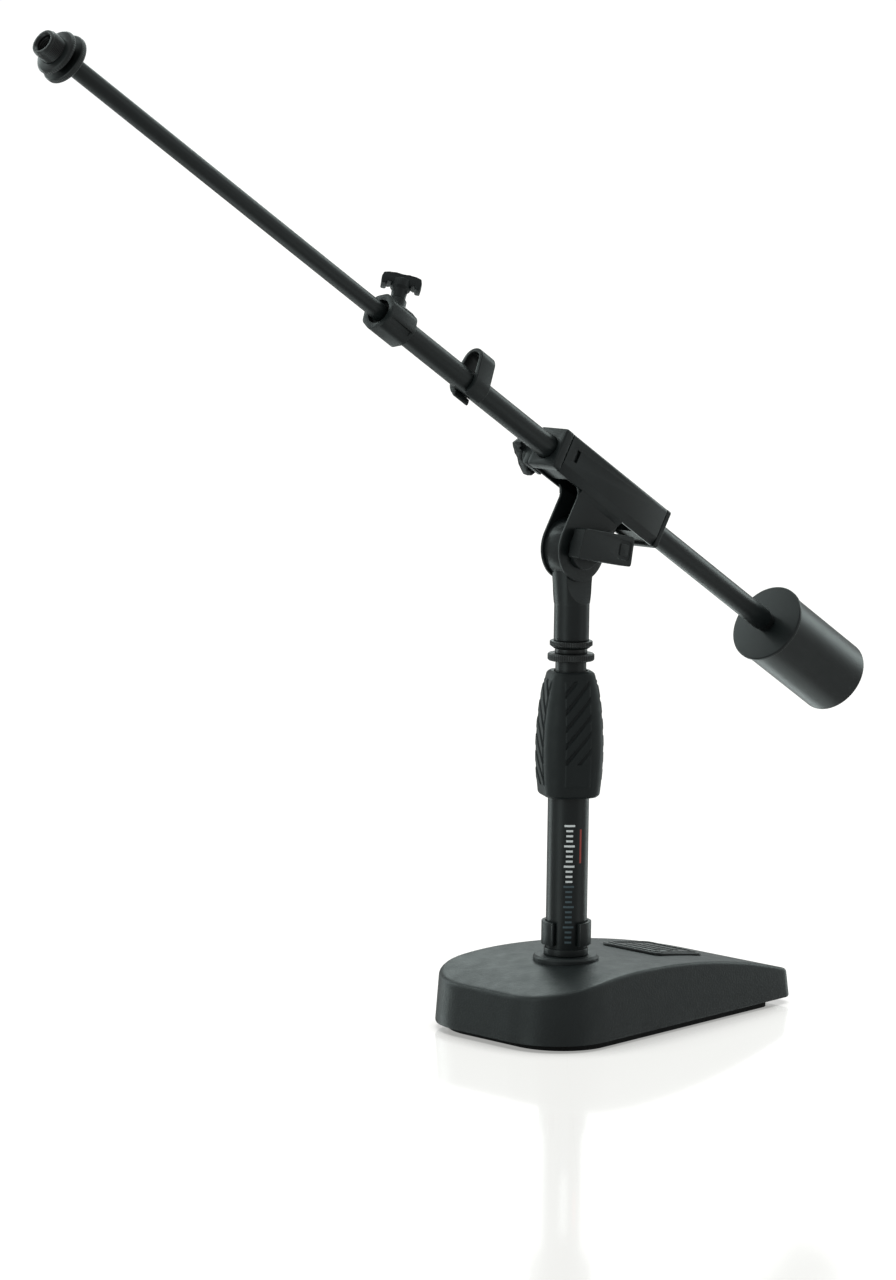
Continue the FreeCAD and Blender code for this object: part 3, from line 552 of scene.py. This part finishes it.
def cable_clip_outline(inner, outer, half_gap, flare):
    """Plan of a C-shaped snap clip: a ring open on one side with lips that turn outwards."""
    start, stop = half_gap, 360 - half_gap
    ring_out = disc_outline(outer, 72, start, stop)
    ring_in = list(reversed(disc_outline(inner, 72, start, stop)))

    def lip(*turns):
        reach = outer + flare
        return [Vector((reach * math.cos(math.radians(turn)), reach * math.sin(math.radians(turn)), 0))
                for turn in turns]

    return ring_out[1:-1] + lip(stop - 3, stop + 1) + ring_in + lip(start - 1, start + 3)


mast_clip = slab("mast_clip", cable_clip_outline(13.0, 15.4, 31, 0.45), 52.2, 66.6, spin(223, "Z"), edge=0.45)
dress(shaded(mast_clip), "black_plastic", "mast_clip", "mast_cable_clip")

# ---------------------------------------------------------------- twist grip

GRIP_FOOT, GRIP_TOP = 144.6, 222.0
GRIP_SECTIONS = ((0.00, 34.8), (0.10, 36.4), (0.25, 38.0), (0.41, 38.4),
                 (0.59, 37.1), (0.77, 34.0), (0.90, 30.2), (1.00, 26.6))
GRIP_TURN = 61.0
CORNER_SHARE = 0.33


def grip_side(share):
    for (low, first), (high, second) in zip(GRIP_SECTIONS, GRIP_SECTIONS[1:]):
        if share <= high:
            blend = (share - low) / (high - low)
            return first + (second - first) * blend
    return GRIP_SECTIONS[-1][1]


def squircle(angle, side):
    """Radius of a square with rounded corners at an angle from the middle of a flat."""
    turn = abs((angle + math.pi / 4) % (math.pi / 2) - math.pi / 4)
    half = side / 2
    corner = side * CORNER_SHARE
    flat = half - corner
    if math.tan(turn) * half <= flat:
        return half / math.cos(turn)
    # distance along the ray to the corner's circle
    centre = math.hypot(flat, flat)
    off = math.pi / 4 - turn
    return centre * math.cos(off) + math.sqrt(max(corner ** 2 - (centre * math.sin(off)) ** 2, 0))


def ribbed_grip():
    """Moulded sleeve: four flats with slanting ribs, alternate flats slanting the other way.

    Two opposite flats end in a plain pad at the foot.
    """
    tall = GRIP_TOP - GRIP_FOOT
    columns, rows = 288, 200
    verts = []
    for row in range(rows + 1):
        share = row / rows
        height = share * tall
        side = grip_side(share)
        end = min(height, tall - height)
        tuck = 1.6 * max(0.0, 1 - end / 2.2) ** 2
        for column in range(columns):
            angle = 2 * math.pi * column / columns
            radius = squircle(angle, side) - tuck
            quarter = round(angle / (math.pi / 2))
            local = angle - quarter * math.pi / 2
            across = math.tan(local) * side / 2
            panel = min(1.0, max(0.0, (8.2 - abs(across)) / 0.8))
            panel *= min(1.0, max(0.0, (height - 7.0) / 1.0))
            panel *= min(1.0, max(0.0, (tall - 5.0 - height) / 1.0))
            lean = 1 if quarter % 2 else -1
            phase = ((height + lean * across * 1.15) / 10.4) % 1.0
            rib = min(1.0, max(0.0, (0.36 - abs(phase - 0.5)) / 0.06))
            plain = min(1.0, max(0.0, (22.0 - height) / 0.8)) if quarter % 2 == 0 else 0.0
            radius += panel * (max(rib, plain) * 1.5 - 0.9)
            verts.append((radius * math.cos(angle), radius * math.sin(angle), height))
    faces = grid_faces(rows + 1, columns)
    for height, radius in ((tall - 1.0, 10.7), (1.0, 14.9)):
        for column in range(columns):
            angle = 2 * math.pi * column / columns
            verts.append((radius * math.cos(angle), radius * math.sin(angle), height))
    last, top_ring, foot_ring = rows * columns, (rows + 1) * columns, (rows + 2) * columns
    for column in range(columns):
        right = (column + 1) % columns
        faces.append((last + column, last + right, top_ring + right, top_ring + column))
        faces.append((column, foot_ring + column, foot_ring + right, right))
    return make("grip_ribs", verts, faces, shift(z=GRIP_FOOT) @ spin(GRIP_TURN, "Z"), 60)


dress(ribbed_grip(), "rubber_grip", "grip", "grip_sleeve")

# ---------------------------------------------------------------- threads and lock rings

THREAD = 7.9375
PITCH = 25.4 / 27


def knurl(count, depth, low, high):
    """A lathe shape that cuts straight teeth into a rim between two radii."""
    def shape(angle, radius, height):
        share = min(1.0, max(0.0, (radius - low) / (high - low)))
        return radius - depth * share * (0.5 + 0.5 * math.cos(angle * count))
    return shape


stud = lathe("stud_flange", [(0.01, 228.2), (13.6, 228.2), (14.4, 229.0), (14.4, 232.0), (13.6, 232.8),
                             (0.01, 232.8)],
             MAST, steps=360, edge=0.3, shape=knurl(60, 0.35, 13.9, 14.4))
stud_thread = screw("stud_thread", THREAD, 0.5, PITCH, 232.6, 256.9, MAST)
stud_end = lathe("stud_end", [(0.01, 257), (6.9, 257), (7.45, 256.4), (7.45, 232)], MAST, steps=48, edge=0.2)
dress(join("mast_stud_piece", stud, stud_thread, stud_end), "black_steel", "mast", "mast_stud")

nut = lathe("mast_nut_ring", [(8.0, 232.9), (10.0, 232.9), (10.0, 235.7), (10.6, 235.7), (13.2, 237.6),
                              (13.2, 240.0), (12.7, 240.5), (8.0, 240.5), (8.0, 232.9)],
            MAST, steps=360, edge=0.3, shape=knurl(54, 0.35, 12.8, 13.2))
dress(nut, "black_steel", "mast_ring", "mast_lock_ring")

TIP_FOOT = 492.1
tip = lathe("tip_flange", [(0.01, 0), (9.2, -0.01), (13.9, 0), (14.4, 0.5), (14.4, 3.0), (13.8, 3.6),
                           (7.4, 3.6)],
            BOOM @ shift(z=TIP_FOOT), steps=360, edge=0.25, shape=knurl(72, 0.2, 13.9, 14.4))
tip_thread = screw("tip_thread", THREAD, 0.5, PITCH, 495.6, 510.9, BOOM)
tip_mouth = lathe("tip_mouth", [(7.45, 508), (7.5, 511.2), (7.1, 512.0), (5.7, 512.0), (4.75, 510.7)],
                  BOOM, steps=64, edge=0.25)
tip_bore = screw("tip_bore_thread", 4.2, 0.45, 1.27, 497.5, 511.0, BOOM, inner=True)
tip_floor = lathe("tip_floor", [(4.9, 497.6), (0.01, 497.4)], BOOM, steps=48, edge=0)
dress(join("tip_adapter_piece", tip, tip_thread, tip_mouth, tip_bore, tip_floor),
      "black_steel", "extension", "tip_adapter")
tip_ring = lathe("tip_ring_piece", [(8.0, 499.4), (12.7, 499.4), (13.2, 499.9), (13.2, 501.2), (12.2, 502.3),
                                    (9.2, 502.8), (8.0, 502.8), (8.0, 499.4)],
                 BOOM, steps=360, edge=0.3, shape=knurl(54, 0.2, 12.9, 13.2))
dress(tip_ring, "black_steel", "tip_ring", "tip_lock_ring")

# ---------------------------------------------------------------- swivel head

HEAD_HALF = 6.3
FLAT_FOOT, FLAT_SWEEP = 277.5, 23.4


def swivel_head():
    """Cast eye on a tapering neck, its two flats running out through hollow sweeps."""
    neck = lathe("head", [(8.0, 240.7), (10.85, 240.7), (10.85, 262.9), (11.15, 263.9), (14.7, 297.3),
                          (0.01, 297.3), (0.01, 256.0), (8.0, 256.0), (8.0, 240.7)], MAST, edge=0.35)
    eye_place = shift(z=PIVOT.z) @ ALONG_Y
    weld(neck, slab("eye", disc_outline(18.5, 96), -HEAD_HALF - 3, HEAD_HALF + 3, eye_place, edge=0))
    for side in (-1, 1):
        low, high = sorted((side * HEAD_HALF, side * (HEAD_HALF + 20)))
        carve(neck, brick(60, 20, FLAT_FOOT, FLAT_FOOT + 60, MAST, y=(low + high) / 2))
        sweep = shift(y=side * (HEAD_HALF + FLAT_SWEEP), z=FLAT_FOOT) @ ALONG_X
        carve(neck, drum(FLAT_SWEEP, -30, 30, sweep, 180))
    carve(neck, drum(3.05, -30, 30, eye_place, 32))
    bevel(neck, 0.5, 3, 28)
    return shaded(neck, 30)


dress(swivel_head(), "black_metal", "head", "swivel_head")

# ---------------------------------------------------------------- bracket

WALL = 11.5
SHEET = 1.6
EAR = 8.2
EAR_HALF = 20.0
ROOF = 13.3
FLOOR = 12.2
FRONT, REAR = 46.0, 52.0


def channel():
    """Folded sheet channel: square above, its walls leaning in below, ears down to the bolt."""
    lean_in = 9.7
    outer = [(-FLOOR, lean_in), (-6.5, WALL), (ROOF, WALL), (ROOF, -WALL), (-6.5, -WALL), (-FLOOR, -lean_in)]
    inner = [(-FLOOR, -lean_in + SHEET), (-6.0, -WALL + SHEET), (ROOF - SHEET, -WALL + SHEET),
             (ROOF - SHEET, WALL - SHEET), (-6.0, WALL - SHEET), (-FLOOR, lean_in - SHEET)]
    rounds = soften([Vector((x, y, 0)) for x, y in outer], 2.6, steps=5)
    rounds += soften([Vector((x, y, 0)) for x, y in inner], 1.0, steps=3)
    body = slab("channel", rounds, -REAR, FRONT, BOOM, edge=0)
    window = brick(7.8, 6, 35.8, 39.0, BOOM, x=2.3, y=-WALL)
    carve(body, window)
    plates = []
    for side in (-1, 1):
        outline = [Vector((-BOOM_OFFSET + EAR_HALF * math.cos(turn), EAR_HALF * math.sin(turn), 0))
                   for turn in (math.radians(90 + 180 * step / 40) for step in range(41))]
        top = -FLOOR + 1.0
        rear = [(top - 6, -EAR_HALF), (top - 2.9, -EAR_HALF - 0.9), (top - 0.9, -EAR_HALF - 2.9),
                (top, -EAR_HALF - 5)]
        front = [(x, -station) for x, station in reversed(rear)]
        points = outline + [Vector((x, s, 0)) for x, s in rear] + [Vector((x, s, 0)) for x, s in front]
        # the outline's second coordinate runs along the boom, so the plate is raised across it
        place = BOOM @ Matrix(((1, 0, 0, 0), (0, 0, 1, 0), (0, 1, 0, 0), (0, 0, 0, 1)))
        low, high = (EAR - SHEET, EAR) if side > 0 else (-EAR, -EAR + SHEET)
        plate = slab("ear", points, low, high, place, edge=0)
        carve(plate, drum(3.02, low - 1, high + 1, place @ shift(x=-BOOM_OFFSET), 32))
        bevel(plate, 0.3, 2)
        plates.append(plate)
        # joggle between the leaning wall and the ear
        web = [(lean_in * side, -FLOOR), (EAR * side, -FLOOR - 3.0), ((EAR - SHEET) * side, -FLOOR - 3.0),
               ((lean_in - SHEET) * side, -FLOOR)]
        turned = BOOM @ Matrix(((0, 1, 0, 0), (1, 0, 0, 0), (0, 0, 1, 0), (0, 0, 0, 1)))
        web_half = EAR_HALF + 0.8
        plates.append(slab("web", [Vector((y, x, 0)) for y, x in web], -web_half, web_half, turned, edge=0))
    bevel(body, 0.25, 2, 50)
    return shaded(join("bracket_sheet", body, *plates), 30)


dress(channel(), "black_metal", "bracket", "boom_bracket")


LOCK_STATION, LOCK_DROP, BOSS_END = 46.0, 4.0, 15.0


def end_piece(name, start, stop, plug_start, plug_stop, edge, boss=False):
    """Plastic bearing block: a plug in the channel and a chamfered lip over its cut end."""
    middle, tall = (ROOF - FLOOR) / 2, ROOF + FLOOR
    lip = slab(name, box_outline(tall, WALL * 2, 2.0, x=middle, steps=5), start, stop, BOOM, edge=0)
    carve(lip, drum(7.2, start - 1, stop + 1, BOOM, 72))
    bevel(lip, edge, 3, 50)
    plug = brick(tall - 3.4, WALL * 2 - 3.4, plug_start, plug_stop, BOOM, x=middle, radius=1.3)
    carve(plug, drum(7.2, plug_start - 1, plug_stop + 1, BOOM, 72))
    things = [lip, plug]
    if boss:
        block = brick(16.4, 4.5, LOCK_STATION - 8.2, stop, BOOM, x=-LOCK_DROP, y=BOSS_END - 2.25, radius=1.6)
        carve(block, brick(60, WALL * 2 + 0.1, -60, FRONT + 0.02, BOOM))
        bevel(block, 0.5, 3, 50)
        things.append(block)
    return shaded(join(name, *things), 30)


dress(end_piece("front_bearing", FRONT + 0.25, FRONT + 7, FRONT - 15, FRONT + 1, 1.1, boss=True),
      "black_plastic", "bracket", "front_insert")
dress(end_piece("rear_bearing", -REAR - 4, -REAR - 0.45, -REAR - 1, -REAR + 15, 0.5),
      "black_plastic", "bracket", "rear_insert")

bolt = lathe("tilt_bolt", [(0.01, 11.8), (6.0, 10.8), (7.0, 9.4), (7.0, 8.2), (3.0, 8.2), (3.0, -16.4),
                           (0.01, -16.6)],
             shift(z=PIVOT.z) @ ALONG_Y, steps=64, edge=0.4)
carve(bolt, slab("tool", disc_outline(2.9, 6), 9.6, 13, shift(z=PIVOT.z) @ ALONG_Y, edge=0))
dress(shaded(bolt), "black_steel", "bracket", "pivot_bolt")

# ---------------------------------------------------------------- tilt lever

LEVER_BACK = -EAR - 0.4
LEVER_TURN = -12.0


def tilt_lever():
    """Paddle over the tilt bolt, thinning to a blunt end with a plain framed pad."""
    turn = shift(*PIVOT) @ spin(-LEVER_TURN, "Y")
    hub = lathe("hub", [(3.1, LEVER_BACK), (12.5, LEVER_BACK), (12.5, LEVER_BACK - 3.2),
                        (3.1, LEVER_BACK - 3.2)], turn @ ALONG_Y, steps=72, edge=0.6)
    # local frame of the paddle's outline: x along the handle, y up, raised towards the viewer's side
    flat = turn @ Matrix(((1, 0, 0, 0), (0, 0, -1, 0), (0, 1, 0, 0), (0, 0, 0, 1)))
    outline = soften([Vector((x, y, 0)) for x, y in (
        (-15.5, -7.0), (32, -5.6), (31.4, 12.8), (-13.1, 11.8))], 2.2, closed=True, steps=6)
    near = -LEVER_BACK + 3.1
    paddle = slab("paddle", outline, near, near + 8.9, flat, edge=0)
    recess = slab("tool", box_outline(11.0, 11.5, 2.4, x=24.0, y=3.6), near + 8.3, near + 12, flat, edge=0)
    carve(paddle, recess)
    bevel(paddle, 1.0, 4, 40)
    frame_pad = slab("pad", box_outline(7.4, 7.4, 1.4, x=24.0, y=3.6), near + 7.6, near + 8.75, flat,
                     edge=0.35)
    return shaded(join("lever_paddle", hub, paddle, frame_pad), 30)


dress(tilt_lever(), "black_plastic", "lever", "tilt_lever")

# ---------------------------------------------------------------- boom tubes

dress(tube("boom_outer", 5.75, 7.13, -180, 212, BOOM), "black_metal", "boom", "boom_outer_tube")
dress(tube("boom_inner", 4.2, 5.215, 60, 492.1, BOOM, edge=0.3), "black_metal", "extension",
      "boom_inner_tube")

# ---------------------------------------------------------------- thumb knobs


def thumb_knob(name, stem, foot, place):
    """Waisted stem under a crowned bar whose two thick ends turn down."""
    hub = lathe("hub", [(0.01, stem), (6.0, stem), (6.0, stem * 0.62), (4.7, stem * 0.5), (foot, 3.1),
                        (foot, 0.6), (foot - 0.6, 0.0), (2.6, 0.0)], place, steps=48, edge=0.5)
    half = [(0, 6.4), (4, 6.25), (8, 5.8), (11.2, 4.9), (12.0, 2.0), (11.7, -2.2), (8.8, -2.2), (8.2, -0.5),
            (5.0, -0.3)]
    outline = half + [(-x, z) for x, z in reversed(half) if x]
    upright = place @ shift(z=stem - 2.5) @ Matrix(((1, 0, 0, 0), (0, 0, 1, 0), (0, 1, 0, 0), (0, 0, 0, 1)))
    rounded = soften([Vector((x, z, 0)) for x, z in outline], 0.9, closed=True, steps=3)
    bar = slab("bar", rounded, -4.2, 4.2, upright, edge=0)
    inverse = place.inverted()
    for vert in bar.data.vertices:
        local = inverse @ (vert.co / MM)
        local.y *= 0.78 + 0.22 * min(1.0, max(0.0, (abs(local.x) - 6.0) / 1.6))
        vert.co = (place @ local) * MM
    bevel(bar, 0.7, 3, 40)
    return shaded(join(name, hub, bar), 30)


LOCK_OUT = BOOM @ shift(-LOCK_DROP, BOSS_END + 0.3, LOCK_STATION) @ ALONG_Y @ spin(122, "Z")
dress(thumb_knob("lock_knob_piece", 7.5, 6.6, LOCK_OUT), "black_plastic", "lock_knob", "boom_lock_knob")

COLLAR_TURN = 14.0
CLUTCH_STEM = BOOM @ shift(z=206) @ spin(COLLAR_TURN, "Z") @ ALONG_X
CLUTCH_OUT = CLUTCH_STEM @ shift(z=14.8) @ spin(-47, "Z")
dress(thumb_knob("clutch_knob_piece", 12.5, 4.5, CLUTCH_OUT), "black_plastic", "knob", "clutch_knob")

# ---------------------------------------------------------------- boom clutch


def clutch_collar():
    """Rounded eight-sided collar with two channels down each side and a boss for the thumb screw."""
    points = []
    across = 11.2 / math.cos(math.radians(22.5))
    for corner in range(8):
        points.append(Vector((across * math.cos(math.radians(22.5 + 45 * corner)),
                              across * math.sin(math.radians(22.5 + 45 * corner)), 0)))
    place = BOOM @ spin(COLLAR_TURN, "Z")
    shell = slab("collar", soften(points, 5.0, closed=True, steps=5), 197, 219, place, edge=0)
    for side in (-1, 1):
        for turn in (57, 123):
            groove = place @ spin(side * turn, "Z") @ shift(x=11.7)
            carve(shell, brick(1.8, 3.4, 199.5, 217.5, groove))
    boss = lathe("boss", [(0.01, 8), (5.6, 8), (5.6, 14.6), (0.01, 14.6)], CLUTCH_STEM, steps=48, edge=0.4)
    weld(shell, boss)
    carve(shell, drum(7.15, 190, 230, BOOM, 64), drum(7.7, 212, 230, BOOM, 64))
    bevel(shell, 0.4, 3, 40)
    return shaded(shell, 30)


dress(clutch_collar(), "black_plastic", "boom", "boom_clutch_body")


def boom_clip():
    """Snap clip: a ring open below, drawn up into a tall loop for the cable."""
    def arc(x, radius, start, stop, step):
        turns = [math.radians(start + (stop - start) * index / step) for index in range(step + 1)]
        return [Vector((x + radius * math.cos(turn), radius * math.sin(turn), 0)) for turn in turns]

    outer = arc(14.0, 7.5, -82, 82, 20)
    outer += arc(0.0, 10.6, 70, 150, 12)
    outer += [Vector((x, y, 0)) for x, y in ((-10.6, 3.6), (-11.0, 2.4), (-10.2, 1.7), (-8.6, 1.9))]
    outer += arc(0.0, 7.45, 163, 62, 14)
    outer += arc(14.0, 4.9, 80, -80, 16)
    outer += arc(0.0, 7.45, -62, -146, 12)
    outer += arc(0.0, 10.6, -148, -70, 12)
    clip = slab("clip", outer, 124, 137, BOOM, edge=0)
    bevel(clip, 0.7, 4, 40)
    return shaded(clip, 35)


dress(boom_clip(), "black_plastic", "cable_clip", "boom_cable_clip")

# ---------------------------------------------------------------- counterweight

weight = lathe("weight_body", [
    (5.05, -185), (25.3, -185), (25.9, -185.5), (25.9, -187.2), (25.4, -187.7), (24.4, -187.9),
    (24.4, -262.2), (22.6, -264), (0.01, -264)], BOOM, steps=128, edge=0.5)
dress(weight, "black_metal", "weight", "counterweight")
stud = lathe("weight_stud_piece", [(0.01, -160), (5.7, -160), (5.7, -180), (6.3, -180.1), (6.3, -184.9),
                                   (5.0, -185), (5.0, -215), (0.01, -215)], BOOM, steps=64, edge=0.3)
dress(stud, "black_steel", "boom", "weight_stud")

# ---------------------------------------------------------------- the CAD nodes that stay

KEPT = {
    "rubber_foot": ("base_plinth",),
    "bright_steel": ("ballast_screws", "mast_nut", "mast_washer", "mast_plug", "lever_nut", "boom_lock_screw",
                     "clutch_screw"),
    "black_steel": ("ballast_plate",),
    "black_plastic": ("clutch_collar", "clutch_collet", "grip_core", "mast_guide_bush", "friction_washers",
                      "inner_guide_bush", "clutch_gland"),
}
for slot, names in KEPT.items():
    for name in names:
        kept = frame["nodes"][name]
        kept.data.materials.clear()
        kept.data.materials.append(FINISH[slot])

# ---------------------------------------------------------------- floor, light and camera


def floor():
    mesh = bpy.data.meshes.new("studio_floor")
    mesh.from_pydata([(-30, -30, 0), (30, -30, 0), (30, 30, 0), (-30, 30, 0)], [], [(0, 1, 2, 3)])
    thing = bpy.data.objects.new("studio_floor", mesh)
    bpy.context.scene.collection.objects.link(thing)
    graph = Graph("studio_white")
    glow = graph.node("ShaderNodeEmission")
    # Ambient occlusion darkens the floor's glow near the object: a painted contact shadow on the floor.
    occlusion = graph.node("ShaderNodeAmbientOcclusion", samples=16)
    occlusion.inputs["Distance"].default_value = 0.06
    shade = graph.ramp(occlusion.outputs["AO"], 0.4, 1.0, 0.35, 0.8)
    path = graph.node("ShaderNodeLightPath")
    level = graph.ramp(path.outputs["Is Camera Ray"], 1.1, 5.8)
    product = graph.node("ShaderNodeMath", operation="MULTIPLY")
    graph.link(shade, product.inputs[0])
    graph.link(level, product.inputs[1])
    graph.link(product.outputs["Value"], glow.inputs["Strength"])
    glow.inputs["Color"].default_value = (1.0, 1.0, 0.975, 1)
    gloss = graph.node("ShaderNodeBsdfGlossy")
    gloss.inputs["Roughness"].default_value = 0.09
    blend = graph.node("ShaderNodeMixShader")
    blend.inputs["Fac"].default_value = 0.85
    output = graph.node("ShaderNodeOutputMaterial")
    graph.link(glow.outputs["Emission"], blend.inputs[1])
    graph.link(gloss.outputs["BSDF"], blend.inputs[2])
    graph.link(blend.outputs["Shader"], output.inputs["Surface"])
    mesh.materials.append(graph.material)


floor()


COOL_LIGHT = (0.86, 1.0, 0.98)


def area_light(name, place, target, size, power):
    data = bpy.data.lights.new(name, "AREA")
    data.color = COOL_LIGHT
    data.shape = "RECTANGLE"
    data.size, data.size_y = size
    data.energy = power
    thing = bpy.data.objects.new(name, data)
    thing.location = place
    thing.rotation_euler = (Vector(target) - Vector(place)).to_track_quat("-Z", "Y").to_euler()
    bpy.context.scene.collection.objects.link(thing)


MIDDLE = (0.0, 0.0, 0.25)
area_light("left_softbox", (-1.9, 0.1, 0.9), MIDDLE, (1.0, 1.6), 11)
area_light("right_softbox", (1.0, -1.9, 1.0), MIDDLE, (1.0, 1.6), 5)
area_light("top_softbox", (0.3, 0.5, 2.2), MIDDLE, (1.8, 1.8), 18)

area_light("rear_top_softbox", (1.7, 1.7, 1.5), MIDDLE, (1.6, 0.8), 15)
area_light("rear_left_strip", (-0.5, 2.0, 0.9), MIDDLE, (0.7, 1.8), 20)
area_light("rear_right_strip", (2.0, -0.1, 0.9), MIDDLE, (0.7, 1.8), 13)

world = bpy.data.worlds.new("studio")
bpy.context.scene.world = world
world.use_nodes = True
world.node_tree.nodes["Background"].inputs["Color"].default_value = (1.0, 1.0, 1.0, 1)
path = world.node_tree.nodes.new("ShaderNodeLightPath")
level = world.node_tree.nodes.new("ShaderNodeMapRange")
level.inputs["To Min"].default_value = 0.40
level.inputs["To Max"].default_value = 1.05
world.node_tree.links.new(path.outputs["Is Camera Ray"], level.inputs["Value"])
world.node_tree.links.new(level.outputs["Result"], world.node_tree.nodes["Background"].inputs["Strength"])

LENS_MM = 124.41
camera_data = bpy.data.cameras.new("camera")
camera = bpy.data.objects.new("camera", camera_data)
bpy.context.scene.collection.objects.link(camera)
camera_data.sensor_width = 36.0
camera_data.lens = LENS_MM
camera_data.clip_end = 100.0
EYE = Vector((-1.93924, -1.85739, 0.57814))
AHEAD = Vector((0.69696008, 0.70610311, -0.12516007))
RIGHT = Vector((0.71285951, -0.70116960, 0.01387496))
UP = RIGHT.cross(AHEAD)
camera.matrix_world = Matrix.Translation(EYE) @ Matrix((RIGHT, UP, -AHEAD)).transposed().to_4x4()
bpy.context.scene.camera = camera
bpy.context.scene.view_settings.view_transform = "Standard"
